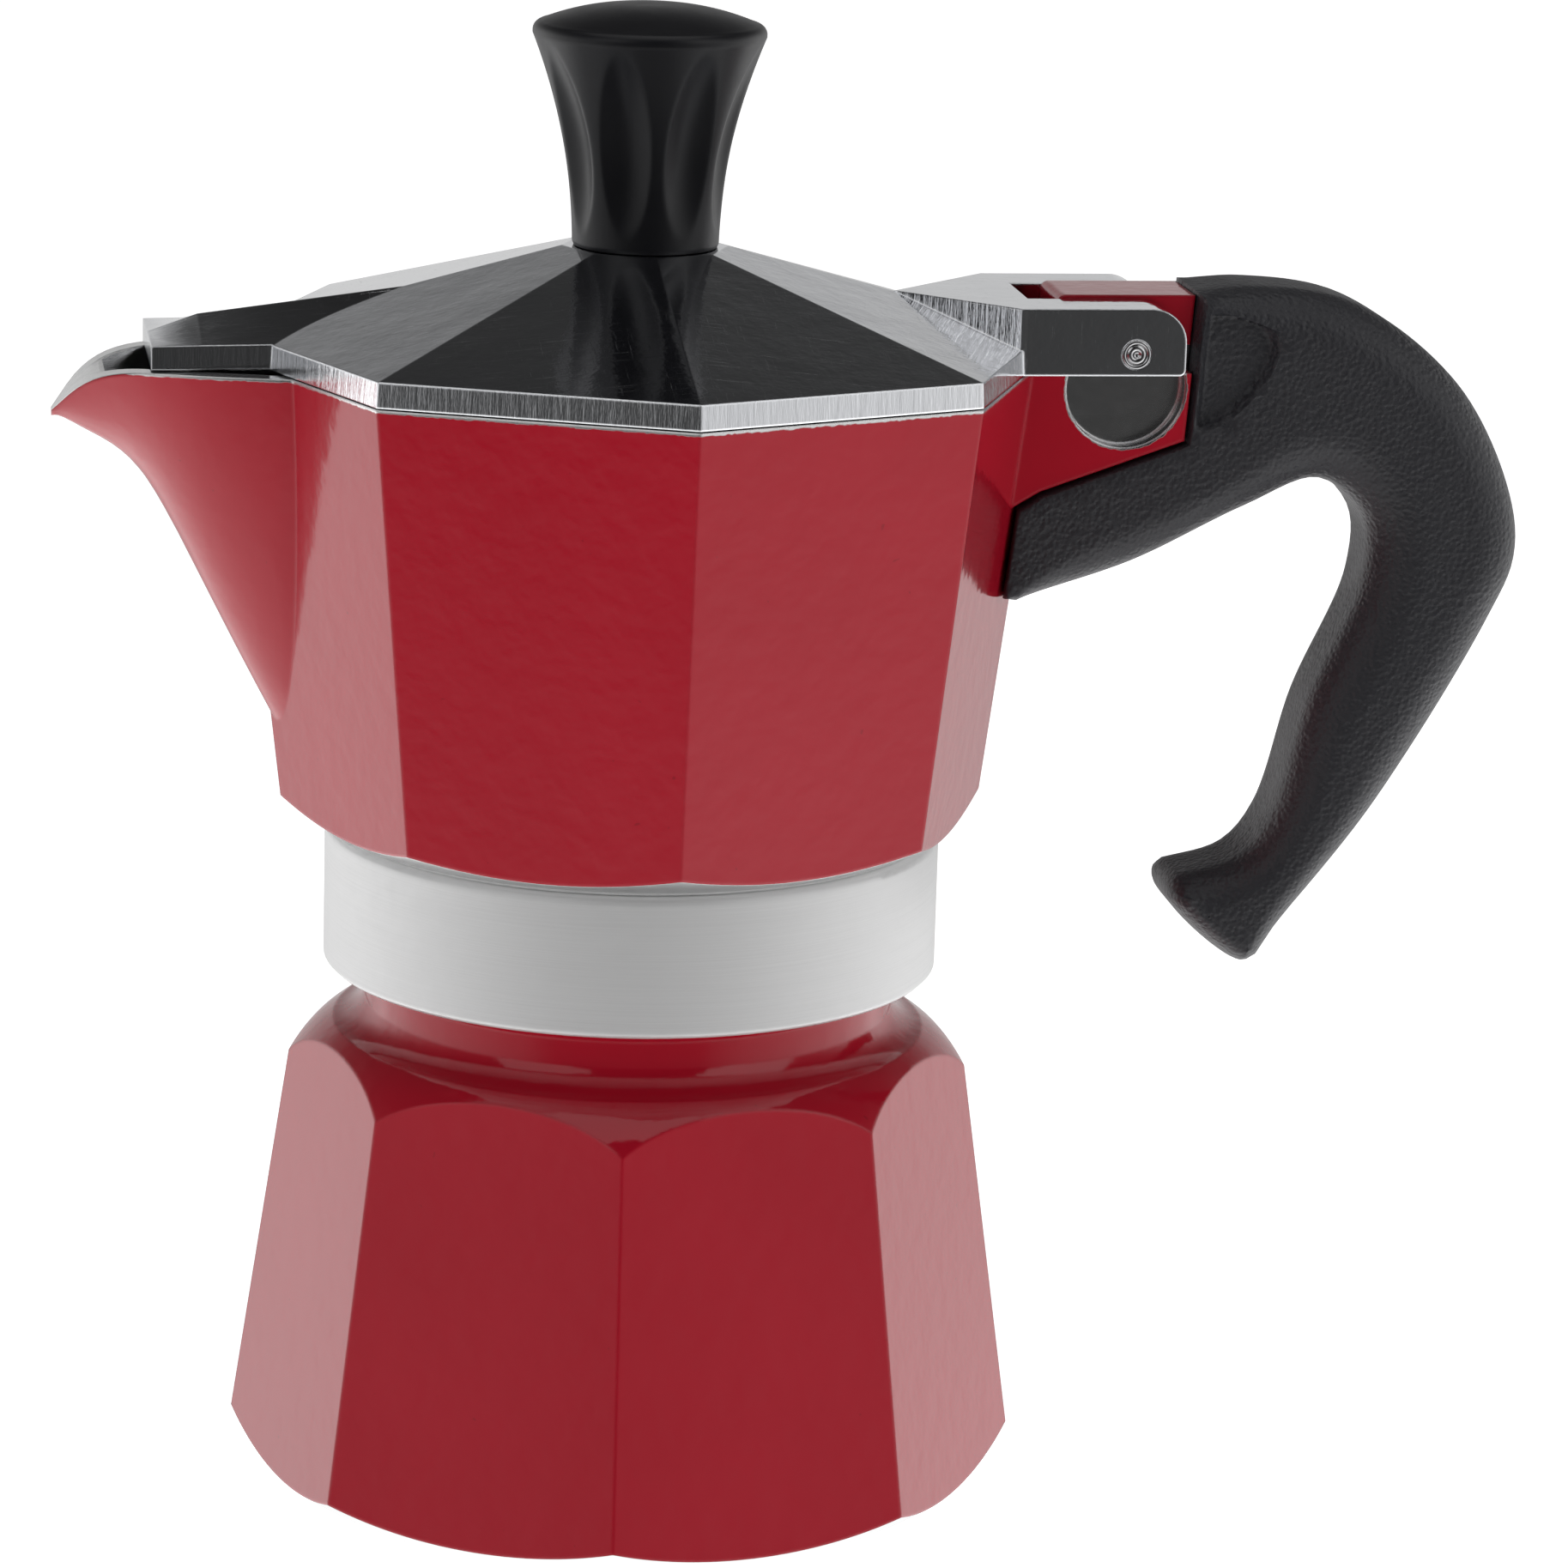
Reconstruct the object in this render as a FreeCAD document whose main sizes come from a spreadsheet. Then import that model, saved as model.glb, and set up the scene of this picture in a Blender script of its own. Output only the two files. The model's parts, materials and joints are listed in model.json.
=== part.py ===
import FreeCAD, Part
import Sketcher
import os
import re

# Stovetop moka pot for one small cup, in millimetres.
# +Z is up, the origin is the middle of the boiler's resting face, the spout points
# to -X, the handle to +X, and the lid hinges about a pin along Y.

Vector = FreeCAD.Vector
Rotation = FreeCAD.Rotation

SIZES = {
    # boiler
    "boiler_radius": 36.04,
    "boiler_taper": 0.1475,
    "boiler_loft_top": 46.0,
    "boiler_turn": 14.44,
    "foot_radius": 28.3,
    "floor_thickness": 3.0,
    "neck_radius": 23.6,
    "neck_base": 44.4,
    "neck_top": 58.0,
    "neck_bore": 21.3,
    "thread_radius": 24.5,
    "thread_pitch": 4.0,
    # safety valve, measured outwards from the boiler's axis
    "valve_height": 21.0,
    "valve_root": 26.5,
    "valve_boss": 6.3,
    "valve_boss_root": 27.0,
    "valve_seat": 30.9,
    "valve_hex_start": 31.5,
    "valve_hex_flat": 10.0,
    "valve_hex_height": 2.8,
    "valve_collar": 3.7,
    "valve_collar_start": 7.7,
    "valve_end": 9.8,
    "valve_floor": 1.5,
    "valve_shank": 4.0,
    "valve_bore": 2.6,
    "valve_orifice": 1.0,
    "valve_plunger_start": 28.05,
    "valve_plunger_head": 2.3,
    "valve_plunger_stem": 0.8,
    "valve_retainer_start": 34.9,
    "valve_retainer_height": 0.7,
    "spring_start": 29.25,
    "spring_wire": 0.28,
    "spring_coil": 1.65,
    "spring_turn": 1.15,
    "spring_length": 4.6,
    # collector
    "rim_height": 102.1,
    "rim_radius": 36.04,
    "collector_taper": 0.1211,
    "collector_loft_base": 59.0,
    "band_radius": 27.3,
    "band_bottom": 48.1,
    "band_top": 60.6,
    "skirt_bore": 24.8,
    "recess_top": 61.85,
    "bowl_floor": 66.0,
    "bowl_low_radius": 28.9,
    "bowl_rim_radius": 33.4,
    "column_bore": 3.4,
    "column_root": 64.4,
    "column_top": 96.0,
    "column_channel": 2.3,
    "column_foot": 5.0,
    # hinge
    "pin_x": 41.9,
    "pin_z": 104.1,
    "pin_radius": 1.25,
    "pin_clearance": 0.05,
    "pin_length": 19.8,
    "tongue_width": 8.0,
    "tongue_top": 108.4,
    "lug_width": 12.0,
    "lug_top": 101.8,
    "pocket_radius": 5.3,
    "pocket_drop": 3.6,
    "ear_width": 19.6,
    "slot_width": 8.4,
    "block_start": 22.1,
    "block_shoulder": 31.6,
    # lid
    "lid_bottom": 102.25,
    "lid_edge": 104.4,
    "lid_edge_radius": 35.9,
    "lid_top": 112.0,
    "lid_top_radius": 7.3,
    "hinge_plane": 108.1,
    # knob
    "knob_radius": 10.13,
    "knob_base": 6.38,
    "knob_top": 133.0,
    "knob_socket": 2.6,
    "knob_socket_top": 121.0,
    "knob_screw_head": 2.9,
    "washer_radius": 3.9,
    "screw_radius": 1.5,
    "screw_clearance": 0.2,
    # handle
    "handle_width": 13.0,
    "handle_front": 48.3,
    "tenon_width": 6.8,
    "tenon_end": 60.0,
    "tenon_bottom": 97.5,
    "tenon_top": 105.0,
    "fit_gap": 0.1,
    "fit_base": 75.0,
    "screw_x": 54.0,
    "screw_head": 2.8,
    "screw_seat": 92.2,
    # funnel, seal and filter
    "funnel_radius": 20.8,
    "funnel_wall": 0.8,
    "flange_radius": 23.6,
    "flange_top": 58.8,
    "tube_radius": 3.0,
    "tube_bottom": 7.0,
    "funnel_plate_height": 40.1,
    "gasket_outer": 24.2,
    "gasket_inner": 18.6,
    "gasket_bottom": 58.85,
    "gasket_top": 61.2,
    "plate_radius": 22.5,
    "plate_thickness": 0.5,
    "plate_dish": 17.8,
    "dish_bottom": 59.4,
    "hole_radius": 0.6,
}

OCTAGON = 8
HEXAGON = 6
FLUTES = 8
PLANE_NAMES = {"XY": "XY_Plane", "XZ": "XZ_Plane", "YZ": "YZ_Plane"}

doc = FreeCAD.newDocument("moka_pot")
sheet = doc.addObject("Spreadsheet::Sheet", "sizes")
for row, (alias, value) in enumerate(SIZES.items(), start=1):
    sheet.set("A%d" % row, alias)
    sheet.set("B%d" % row, str(value))
    sheet.setAlias("B%d" % row, alias)
doc.recompute()

pieces = []


def expression(text):
    """Write a size formula with each alias pointing at the sheet."""
    def point_at_sheet(match):
        word = match.group(0)
        return "sizes." + word if word in SIZES else word
    return re.sub(r"[a-z][a-z_]*", point_at_sheet, str(text))


def value_of(text):
    return float(sheet.evalExpression(expression(text)))


def new_body(label):
    body = doc.addObject("PartDesign::Body", label)
    body.Label = label
    pieces.append(body)
    return body


def new_sketch(body, name, plane="XY", offset=0):
    """A sketch on one of the body's own origin planes, moved along its normal."""
    sketch = body.newObject("Sketcher::SketchObject", name)
    role = PLANE_NAMES[plane]
    support = [item for item in body.Origin.OriginFeatures if item.Role == role][0]
    sketch.AttachmentSupport = [(support, "")]
    sketch.MapMode = "FlatFace"
    sketch.AttachmentOffset = FreeCAD.Placement(Vector(0, 0, value_of(offset)), Rotation())
    if str(offset) != "0":
        sketch.setExpression(".AttachmentOffset.Base.z", expression(offset))
    return sketch


def pin_point(sketch, geometry, end, x, y):
    """Hold one end of a sketch line at a place given by two formulas."""
    for kind, text in (("DistanceX", x), ("DistanceY", y)):
        rule = sketch.addConstraint(Sketcher.Constraint(kind, -1, 1, geometry, end, value_of(text)))
        sketch.setExpression("Constraints[%d]" % rule, expression(text))


def outline(sketch, corners):
    """A closed outline of lines. A corner marked "via" is a point that an arc passes through."""
    stops = [corner for corner in corners if corner[0] != "via"]
    bends = {}
    count = -1
    for corner in corners:
        if corner[0] == "via":
            bends[count] = Vector(value_of(corner[1]), value_of(corner[2]), 0)
        else:
            count += 1
    points = [Vector(value_of(x), value_of(y), 0) for x, y in stops]
    ends = []
    for index, start in enumerate(points):
        finish = points[(index + 1) % len(points)]
        middle = bends.get(index)
        if middle is None:
            geometry = sketch.addGeometry(Part.LineSegment(start, finish))
            ends.append((geometry, 1, 2))
        elif (middle - start).cross(finish - start).z > 0:
            geometry = sketch.addGeometry(Part.Arc(start, middle, finish))
            ends.append((geometry, 1, 2))
        else:
            geometry = sketch.addGeometry(Part.Arc(finish, middle, start))
            ends.append((geometry, 2, 1))
    for index, (geometry, first, last) in enumerate(ends):
        following = ends[(index + 1) % len(ends)]
        sketch.addConstraint(Sketcher.Constraint("Coincident", geometry, last, following[0], following[1]))
    for (geometry, first, last), (x, y) in zip(ends, stops):
        pin_point(sketch, geometry, first, x, y)
    return sketch


def circle(sketch, x, y, radius):
    centre = Vector(value_of(x), value_of(y), 0)
    geometry = sketch.addGeometry(Part.Circle(centre, Vector(0, 0, 1), value_of(radius)))
    rule = sketch.addConstraint(Sketcher.Constraint("Radius", geometry, value_of(radius)))
    sketch.setExpression("Constraints[%d]" % rule, expression(radius))
    pin_point(sketch, geometry, 3, x, y)
    return sketch


def polygon(sketch, radius, sides=OCTAGON, first_angle=0.0):
    """A regular polygon about the sketch's origin, radius to its corners."""
    corners = []
    for index in range(sides):
        angle = first_angle + 360.0 * index / sides
        corners.append(("(%s) * cos(%s)" % (radius, angle), "(%s) * sin(%s)" % (radius, angle)))
    return outline(sketch, corners)


def loft(body, name, sections, cut=False, ruled=True):
    kind = "PartDesign::SubtractiveLoft" if cut else "PartDesign::AdditiveLoft"
    feature = body.newObject(kind, name)
    feature.Profile = sections[0]
    feature.Sections = sections[1:]
    feature.Ruled = ruled
    return settle(body, feature, cut)


def turned(body, name, corners, cut=False):
    """A ring or a round solid: an outline in radius and height, turned about Z."""
    sketch = outline(new_sketch(body, name + "_outline", "XZ"), corners)
    kind = "PartDesign::Groove" if cut else "PartDesign::Revolution"
    feature = body.newObject(kind, name)
    feature.Profile = sketch
    feature.ReferenceAxis = (sketch, ["V_Axis"])
    feature.Angle = 360.0
    return settle(body, feature, cut)


def extruded(body, name, sketch, length, cut=False, symmetric=False, backwards=False):
    kind = "PartDesign::Pocket" if cut else "PartDesign::Pad"
    feature = body.newObject(kind, name)
    feature.Profile = sketch
    feature.Length = value_of(length)
    feature.setExpression("Length", expression(length))
    if symmetric:
        feature.SideType = "Symmetric"
    feature.Reversed = backwards
    return settle(body, feature, cut)


def settle(body, feature, cut):
    """Recompute and make sure that the feature changed the body the right way."""
    before = body_volume(body, feature)
    doc.recompute()
    after = feature.Shape.Volume
    changed = before - after if cut else after - before
    if changed < 1e-3:
        raise RuntimeError("%s changes %s by %.4f mm3" % (feature.Name, body.Label, changed))
    return feature


def body_volume(body, feature):
    base = feature.BaseFeature
    return base.Shape.Volume if base is not None else 0.0


def ring_of(body, name, feature, count):
    """Repeat a feature about the body's Z axis."""
    pattern = body.newObject("PartDesign::PolarPattern", name)
    pattern.Originals = [feature]
    axis = [item for item in body.Origin.OriginFeatures if item.Role == "Z_Axis"][0]
    pattern.Axis = (axis, [""])
    pattern.Angle = 360.0
    pattern.Occurrences = count
    body.Tip = pattern
    doc.recompute()
    return pattern


def perforate(body, name, height, depth, rings):
    """Drill rings of small holes: one hole in the middle, then (radius, count) rings."""
    middle = circle(new_sketch(body, name + "_middle", "XY", height), "0", "0", "hole_radius")
    extruded(body, name + "_middle_hole", middle, depth, cut=True)
    for index, (radius, count) in enumerate(rings):
        spot = new_sketch(body, "%s_spot%d" % (name, index), "XY", height)
        circle(spot, str(radius), "0", "hole_radius")
        hole = extruded(body, "%s_hole%d" % (name, index), spot, depth, cut=True)
        ring_of(body, "%s_ring%d" % (name, index), hole, count)


def outwards(distance):
    """Stand a piece made along Z so that it points out of the boiler at the valve."""
    lie = FreeCAD.Placement(Vector(0, distance, SIZES["valve_height"]), Rotation(Vector(1, 0, 0), -90))
    return FreeCAD.Placement(Vector(), Rotation(Vector(0, 0, 1), SIZES["boiler_turn"])) * lie


def make_boiler():
    body = new_body("boiler")
    low = polygon(new_sketch(body, "boiler_low"), "boiler_radius", OCTAGON, 22.5)
    top_radius = "boiler_radius - boiler_taper * boiler_loft_top"
    high = polygon(new_sketch(body, "boiler_high", "XY", "boiler_loft_top"), top_radius, OCTAGON, 22.5)
    loft(body, "boiler_walls", [low, high])

    # the facets end below on a convex turned foot
    turned(body, "boiler_foot", [
        ("foot_radius", "0"), ("via", "foot_radius + 4.9", "2.85"),
        ("foot_radius + 8.4", "5.8"), ("foot_radius + 14", "5.8"),
        ("foot_radius + 14", "-1"), ("foot_radius", "-1")], cut=True)
    # and above on a turned shoulder that sweeps in to the neck
    turned(body, "boiler_shoulder", [
        ("neck_radius", "neck_base"), ("via", "neck_radius + 1.0", "neck_base - 1.35"),
        ("neck_radius + 2.8", "neck_base - 2.1"), ("via", "neck_radius + 5.0", "neck_base - 3.8"),
        ("neck_radius + 7.6", "neck_base - 7.5"), ("neck_radius + 16", "neck_base - 7.5"),
        ("neck_radius + 16", "boiler_loft_top + 1"), ("neck_radius", "boiler_loft_top + 1")], cut=True)
    turned(body, "boiler_neck", [
        ("0", "40"), ("neck_radius", "40"), ("neck_radius", "neck_base + 2.4"),
        ("thread_radius", "neck_base + 3.3"), ("thread_radius", "neck_top - 0.5"),
        ("thread_radius - 0.5", "neck_top"), ("0", "neck_top")])
    turned(body, "boiler_hollow", [
        ("0", "floor_thickness"), ("27.0", "floor_thickness"), ("via", "29.5", "floor_thickness + 1"),
        ("30.5", "floor_thickness + 3.5"), ("26.0", "36.5"), ("neck_bore", "41.5"),
        ("neck_bore", "neck_top + 1"), ("0", "neck_top + 1")], cut=True)
    # flat round seat for the safety valve, and its hole
    boss = new_sketch(body, "valve_boss_outline", "XZ", "-valve_boss_root")
    circle(boss, "0", "valve_height", "valve_boss")
    extruded(body, "valve_boss", boss, "valve_seat - valve_boss_root", backwards=True)
    face = new_sketch(body, "valve_face_outline", "XZ", "-valve_seat")
    circle(face, "0", "valve_height", "valve_boss")
    extruded(body, "valve_face", face, "6", cut=True)
    hole = new_sketch(body, "valve_hole_outline", "XZ", "0.5 - valve_root")
    circle(hole, "0", "valve_height", "valve_shank")
    extruded(body, "valve_hole", hole, "6", cut=True)
    cut_thread(body)
    body.Placement = FreeCAD.Placement(Vector(), Rotation(Vector(0, 0, 1), SIZES["boiler_turn"]))


def cut_thread(body):
    """The coarse male thread on the neck, as one helical groove."""
    profile = outline(new_sketch(body, "thread_outline", "XZ"), [
        ("thread_radius + 0.3", "neck_base + 3.4"), ("thread_radius - 0.8", "neck_base + 4.3"),
        ("thread_radius - 0.8", "neck_base + 5.1"), ("thread_radius + 0.3", "neck_base + 6.0")])
    groove = body.newObject("PartDesign::SubtractiveHelix", "thread_groove")
    groove.Profile = profile
    groove.ReferenceAxis = (profile, ["V_Axis"])
    groove.Mode = 0
    groove.Pitch = value_of("thread_pitch")
    groove.setExpression("Pitch", expression("thread_pitch"))
    groove.Height = 2 * value_of("thread_pitch")
    groove.setExpression("Height", expression("2 * thread_pitch"))
    settle(body, groove, cut=True)


def make_valve():
    body = new_body("valve_body")
    turned(body, "valve_shank_turned", [
        ("0", "0"), ("valve_shank", "0"), ("valve_shank", "valve_hex_start - valve_root"),
        ("0", "valve_hex_start - valve_root")])
    nut = new_sketch(body, "valve_hex_outline", "XY", "valve_hex_start - valve_root")
    polygon(nut, "valve_hex_flat / 2 / cos(30)", HEXAGON)
    extruded(body, "valve_hex", nut, "valve_hex_height")
    turned(body, "valve_collar", [
        ("0", "valve_collar_start"), ("valve_collar", "valve_collar_start"),
        ("valve_collar", "valve_end - 0.5"), ("valve_collar - 0.5", "valve_end"), ("0", "valve_end")])
    turned(body, "valve_chamber", [
        ("0", "valve_floor"), ("valve_bore", "valve_floor"),
        ("valve_bore", "valve_end + 0.2"), ("0", "valve_end + 0.2")], cut=True)
    turned(body, "valve_inlet", [
        ("0", "-0.1"), ("valve_orifice", "-0.1"),
        ("valve_orifice", "valve_floor + 0.1"), ("0", "valve_floor + 0.1")], cut=True)
    body.Placement = outwards(SIZES["valve_root"])

    body = new_body("valve_washer")
    turned(body, "valve_washer_ring", [
        ("valve_shank", "0"), ("valve_shank + 1.4", "0"),
        ("valve_shank + 1.4", "valve_hex_start - valve_seat"),
        ("valve_shank", "valve_hex_start - valve_seat")])
    body.Placement = outwards(SIZES["valve_seat"])

    body = new_body("valve_plunger")
    turned(body, "valve_plunger_turned", [
        ("0", "0"), ("valve_plunger_head - 0.6", "0"), ("valve_plunger_head", "0.5"),
        ("valve_plunger_head", "1.2"), ("valve_plunger_stem", "1.2"), ("valve_plunger_stem", "8.8"),
        ("valve_plunger_stem - 0.3", "9.1"), ("0", "9.1")])
    body.Placement = outwards(SIZES["valve_plunger_start"])

    body = new_body("valve_retainer")
    turned(body, "valve_retainer_ring", [
        ("valve_orifice", "0"), ("valve_bore", "0"), ("valve_bore", "valve_retainer_height"),
        ("valve_orifice", "valve_retainer_height")])
    body.Placement = outwards(SIZES["valve_retainer_start"])

    make_valve_spring()


def make_valve_spring():
    helix = doc.addObject("Part::Helix", "valve_spring_helix")
    wire = doc.addObject("Part::Circle", "valve_spring_wire")
    sizes_of_spring = (
        (helix, "Radius", "spring_coil"), (helix, "Pitch", "spring_turn"),
        (helix, "Height", "spring_length"), (wire, "Radius", "spring_wire"))
    for item, dimension, size in sizes_of_spring:
        item.setExpression(dimension, expression(size))
    wire.Placement = FreeCAD.Placement(Vector(SIZES["spring_coil"], 0, 0), Rotation(Vector(1, 0, 0), 90))
    spring = doc.addObject("Part::Sweep", "valve_spring")
    spring.Sections = [wire]
    spring.Spine = (helix, ["Edge1"])
    spring.Solid = True
    spring.Frenet = True
    doc.recompute()
    spring.Label = "valve_spring"
    spring.Placement = outwards(SIZES["spring_start"] + 1.5 * SIZES["spring_wire"])
    pieces.append(spring)


def make_funnel():
    body = new_body("funnel")
    turned(body, "funnel_turned", [
        ("tube_radius", "tube_bottom"), ("tube_radius", "35.5"), ("funnel_radius - 1.5", "38.2"),
        ("funnel_radius", "39.6"), ("funnel_radius", "neck_top"), ("flange_radius", "neck_top"),
        ("flange_radius", "flange_top"), ("funnel_radius - funnel_wall", "flange_top"),
        ("funnel_radius - funnel_wall", "funnel_plate_height - 0.1"), ("funnel_radius - 1.9", "39.1"),
        ("tube_radius - 0.5", "36.3"), ("tube_radius - funnel_wall", "35.9"),
        ("tube_radius - funnel_wall", "tube_bottom")])

    body = new_body("funnel_plate")
    disc = new_sketch(body, "funnel_plate_outline", "XY", "funnel_plate_height")
    circle(disc, "0", "0", "funnel_radius - funnel_wall")
    extruded(body, "funnel_plate_disc", disc, "plate_thickness")
    plate_top = "funnel_plate_height + plate_thickness"
    perforate(body, "funnel_plate", plate_top, "1", [(4, 6), (8, 12), (12, 18), (16, 24)])


def make_seal():
    body = new_body("gasket")
    turned(body, "gasket_ring", [
        ("gasket_inner", "gasket_bottom"), ("gasket_outer - 0.3", "gasket_bottom"),
        ("gasket_outer", "gasket_bottom + 0.3"), ("gasket_outer", "gasket_top - 0.3"),
        ("gasket_outer - 0.3", "gasket_top"), ("gasket_inner", "gasket_top")])

    body = new_body("filter_plate")
    turned(body, "filter_plate_turned", [
        ("0", "dish_bottom"), ("plate_dish", "dish_bottom"), ("plate_dish + 0.5", "gasket_top + 0.08"),
        ("plate_radius", "gasket_top + 0.08"), ("plate_radius", "recess_top - 0.07"),
        ("plate_dish - 0.1", "recess_top - 0.07"),
        ("plate_dish - 0.55", "dish_bottom + plate_thickness"), ("0", "dish_bottom + plate_thickness")])
    perforate(body, "filter_plate", "dish_bottom + 1", "1.5", [(3, 6), (6, 12), (9, 18), (12, 24), (15, 30)])


def spout_section(body, name, x, half_width, rim, keel):
    """A V-shaped slice of the spout with a rounded keel, open to the sky at its rim."""
    sketch = new_sketch(body, name, "YZ", x)
    depth = rim - keel
    bottom = Vector(0, keel, 0)
    for side in (1, -1):
        side_curve = Part.BezierCurve()
        side_curve.setPoles([
            Vector(side * half_width, rim, 0), Vector(side * half_width * 0.78, rim - 0.5 * depth, 0),
            Vector(side * half_width * 0.3, keel, 0), bottom])
        sketch.addGeometry(side_curve.toBSpline())
    sketch.addGeometry(Part.LineSegment(Vector(half_width, rim, 0), Vector(-half_width, rim, 0)))
    sketch.addConstraint(Sketcher.Constraint("Coincident", 0, 2, 1, 2))
    sketch.addConstraint(Sketcher.Constraint("Coincident", 0, 1, 2, 1))
    sketch.addConstraint(Sketcher.Constraint("Coincident", 1, 1, 2, 2))
    return sketch


# how far out, half the width at the rim, height of the rim, height of the keel
SPOUT = [
    (-30.0, 11.4, 102.1, 66.5),
    (-33.0, 11.0, 102.1, 72.1),
    (-36.0, 10.3, 102.1, 77.9),
    (-39.5, 9.4, 102.1, 84.9),
    (-42.2, 8.5, 102.1, 90.0),
    (-44.6, 7.4, 101.95, 93.3),
    (-47.2, 5.5, 101.3, 95.2),
    (-49.6, 3.0, 99.6, 96.5),
    (-51.3, 0.7, 97.6, 97.0),
]
SPOUT_WALL = 1.7


def make_collector():
    body = new_body("collector")
    base_radius = "rim_radius - collector_taper * (rim_height - collector_loft_base)"
    low = polygon(new_sketch(body, "collector_low", "XY", "collector_loft_base"), base_radius)
    high = polygon(new_sketch(body, "collector_high", "XY", "rim_height"), "rim_radius")
    loft(body, "collector_walls", [low, high])

    turned(body, "collector_undercut", [
        ("band_radius - 0.7", "band_top"), ("band_radius + 8", "band_top + 4.5"),
        ("band_radius + 14", "band_top + 4.5"), ("band_radius + 14", "band_top - 4"),
        ("band_radius - 0.7", "band_top - 4")], cut=True)
    turned(body, "collector_band", [
        ("0", "band_bottom"), ("band_radius - 0.3", "band_bottom"), ("band_radius", "band_bottom + 0.3"),
        ("band_radius", "band_top - 0.8"), ("via", "band_radius - 0.2", "band_top - 0.25"),
        ("band_radius - 0.7", "band_top"), ("0", "band_top")])

    sections = []
    for index, (x, half_width, rim, keel) in enumerate(SPOUT):
        sections.append(spout_section(body, "spout_slice%d" % index, x, half_width, rim, keel))
    loft(body, "spout", sections, ruled=False)

    lug = outline(new_sketch(body, "lug_outline", "XZ"), [
        ("29", "lug_top"), ("handle_front - 0.55", "lug_top"), ("handle_front - 0.96", "95.8"),
        ("34.6", "91.3"), ("29", "88.0")])
    extruded(body, "lug", lug, "lug_width", symmetric=True)
    tongue = outline(new_sketch(body, "tongue_outline", "XZ"), [
        ("pin_x - 6", "lug_top - 1"), ("handle_front - 0.61", "lug_top - 1"),
        ("handle_front - 0.08", "tongue_top"), ("pin_x - 5.2", "tongue_top"),
        ("via", "pin_x - 5.8", "tongue_top - 0.25"), ("pin_x - 6", "tongue_top - 0.9")])
    extruded(body, "tongue", tongue, "tongue_width", symmetric=True)
    tenon = outline(new_sketch(body, "tenon_outline", "XZ"), [
        ("handle_front - 2", "tenon_bottom"), ("tenon_end", "tenon_bottom"),
        ("tenon_end", "tenon_top"), ("handle_front - 2", "tenon_top")])
    extruded(body, "tenon", tenon, "tenon_width", symmetric=True)

    bowl_low = polygon(new_sketch(body, "bowl_low", "XY", "bowl_floor"), "bowl_low_radius")
    bowl_high = polygon(new_sketch(body, "bowl_high", "XY", "rim_height + 1"), "bowl_rim_radius")
    loft(body, "bowl", [bowl_low, bowl_high], cut=True)
    channel = []
    for index, (x, half_width, rim, keel) in enumerate(SPOUT):
        inner_width = max(half_width - SPOUT_WALL, 0.35)
        inner_keel = min(keel + 1.35 * SPOUT_WALL, rim - 0.1)
        slice_name = "channel_slice%d" % index
        channel.append(spout_section(body, slice_name, x + 0.9, inner_width, rim + 0.4, inner_keel))
    loft(body, "spout_channel", channel, cut=True, ruled=False)
    turned(body, "collector_recess", [
        ("0", "band_bottom - 1"), ("skirt_bore", "band_bottom - 1"), ("skirt_bore", "recess_top"),
        ("17", "recess_top"), ("column_bore", "column_root - 0.1"), ("column_bore", "bowl_floor + 1"),
        ("0", "bowl_floor + 1")], cut=True)

    # round pockets either side of the lug, where the lid's ears swing down
    pocket_centre = ("pin_x", "pin_z - pocket_drop")
    pocket_depth = "(lug_width - tongue_width) / 2"
    for name, offset, backwards in (("front", "lug_width / 2", False), ("back", "-lug_width / 2", True)):
        side = new_sketch(body, name + "_pocket_outline", "XZ", offset)
        circle(side, *pocket_centre, "pocket_radius")
        extruded(body, name + "_pocket", side, pocket_depth, cut=True, backwards=backwards)
    pin_hole = new_sketch(body, "pin_hole_outline", "XZ")
    circle(pin_hole, "pin_x", "pin_z", "pin_radius + pin_clearance")
    extruded(body, "pin_hole", pin_hole, "tongue_width + 2", cut=True, symmetric=True)
    screw_hole = new_sketch(body, "screw_hole_outline", "XY", "tenon_top - 1")
    circle(screw_hole, "screw_x", "0", "screw_radius")
    extruded(body, "screw_hole", screw_hole, "10", cut=True)


def make_column():
    body = new_body("riser_column")
    turned(body, "column_turned", [
        ("0", "column_root"), ("column_bore", "column_root"), ("column_bore", "bowl_floor"),
        ("column_foot", "bowl_floor"), ("column_foot", "bowl_floor + 1.5"),
        ("column_foot - 0.6", "bowl_floor + 2.5"), ("3.8", "column_top - 4.5"), ("4.3", "column_top - 3.8"),
        ("4.3", "column_top - 2.4"), ("via", "3.1", "column_top - 0.7"), ("1", "column_top"),
        ("0", "column_top")])
    turned(body, "column_bore_channel", [
        ("0", "column_root - 0.4"), ("column_channel", "column_root - 0.4"),
        ("column_channel", "column_top - 3.4"), ("0", "column_top - 2.6")], cut=True)
    slot = outline(new_sketch(body, "column_slot_outline", "XZ"), [
        ("-1.5", "87.6"), ("1.5", "87.6"), ("1.5", "91.2"), ("-1.5", "91.2")])
    extruded(body, "column_slots", slot, "12", cut=True, symmetric=True)


# how far out, half the width, height of the side edge, height of the ridge
COVER = [(-43.1, 7.4, 104.25, 104.35), (-38.8, 7.4, 104.35, 105.9), (-21.0, 7.4, 104.6, 108.35)]
COVER_INSIDE = [(-42.0, 5.6, 102.8, 103.0), (-38.4, 5.6, 102.9, 104.0), (-20.0, 5.6, 103.1, 106.4)]


def cover_section(body, name, x, half_width, edge, ridge, bottom):
    return outline(new_sketch(body, name, "YZ", x), [
        (str(-half_width), bottom), (str(half_width), bottom), (str(half_width), str(edge)),
        ("0", str(ridge)), (str(-half_width), str(edge))])


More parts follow.
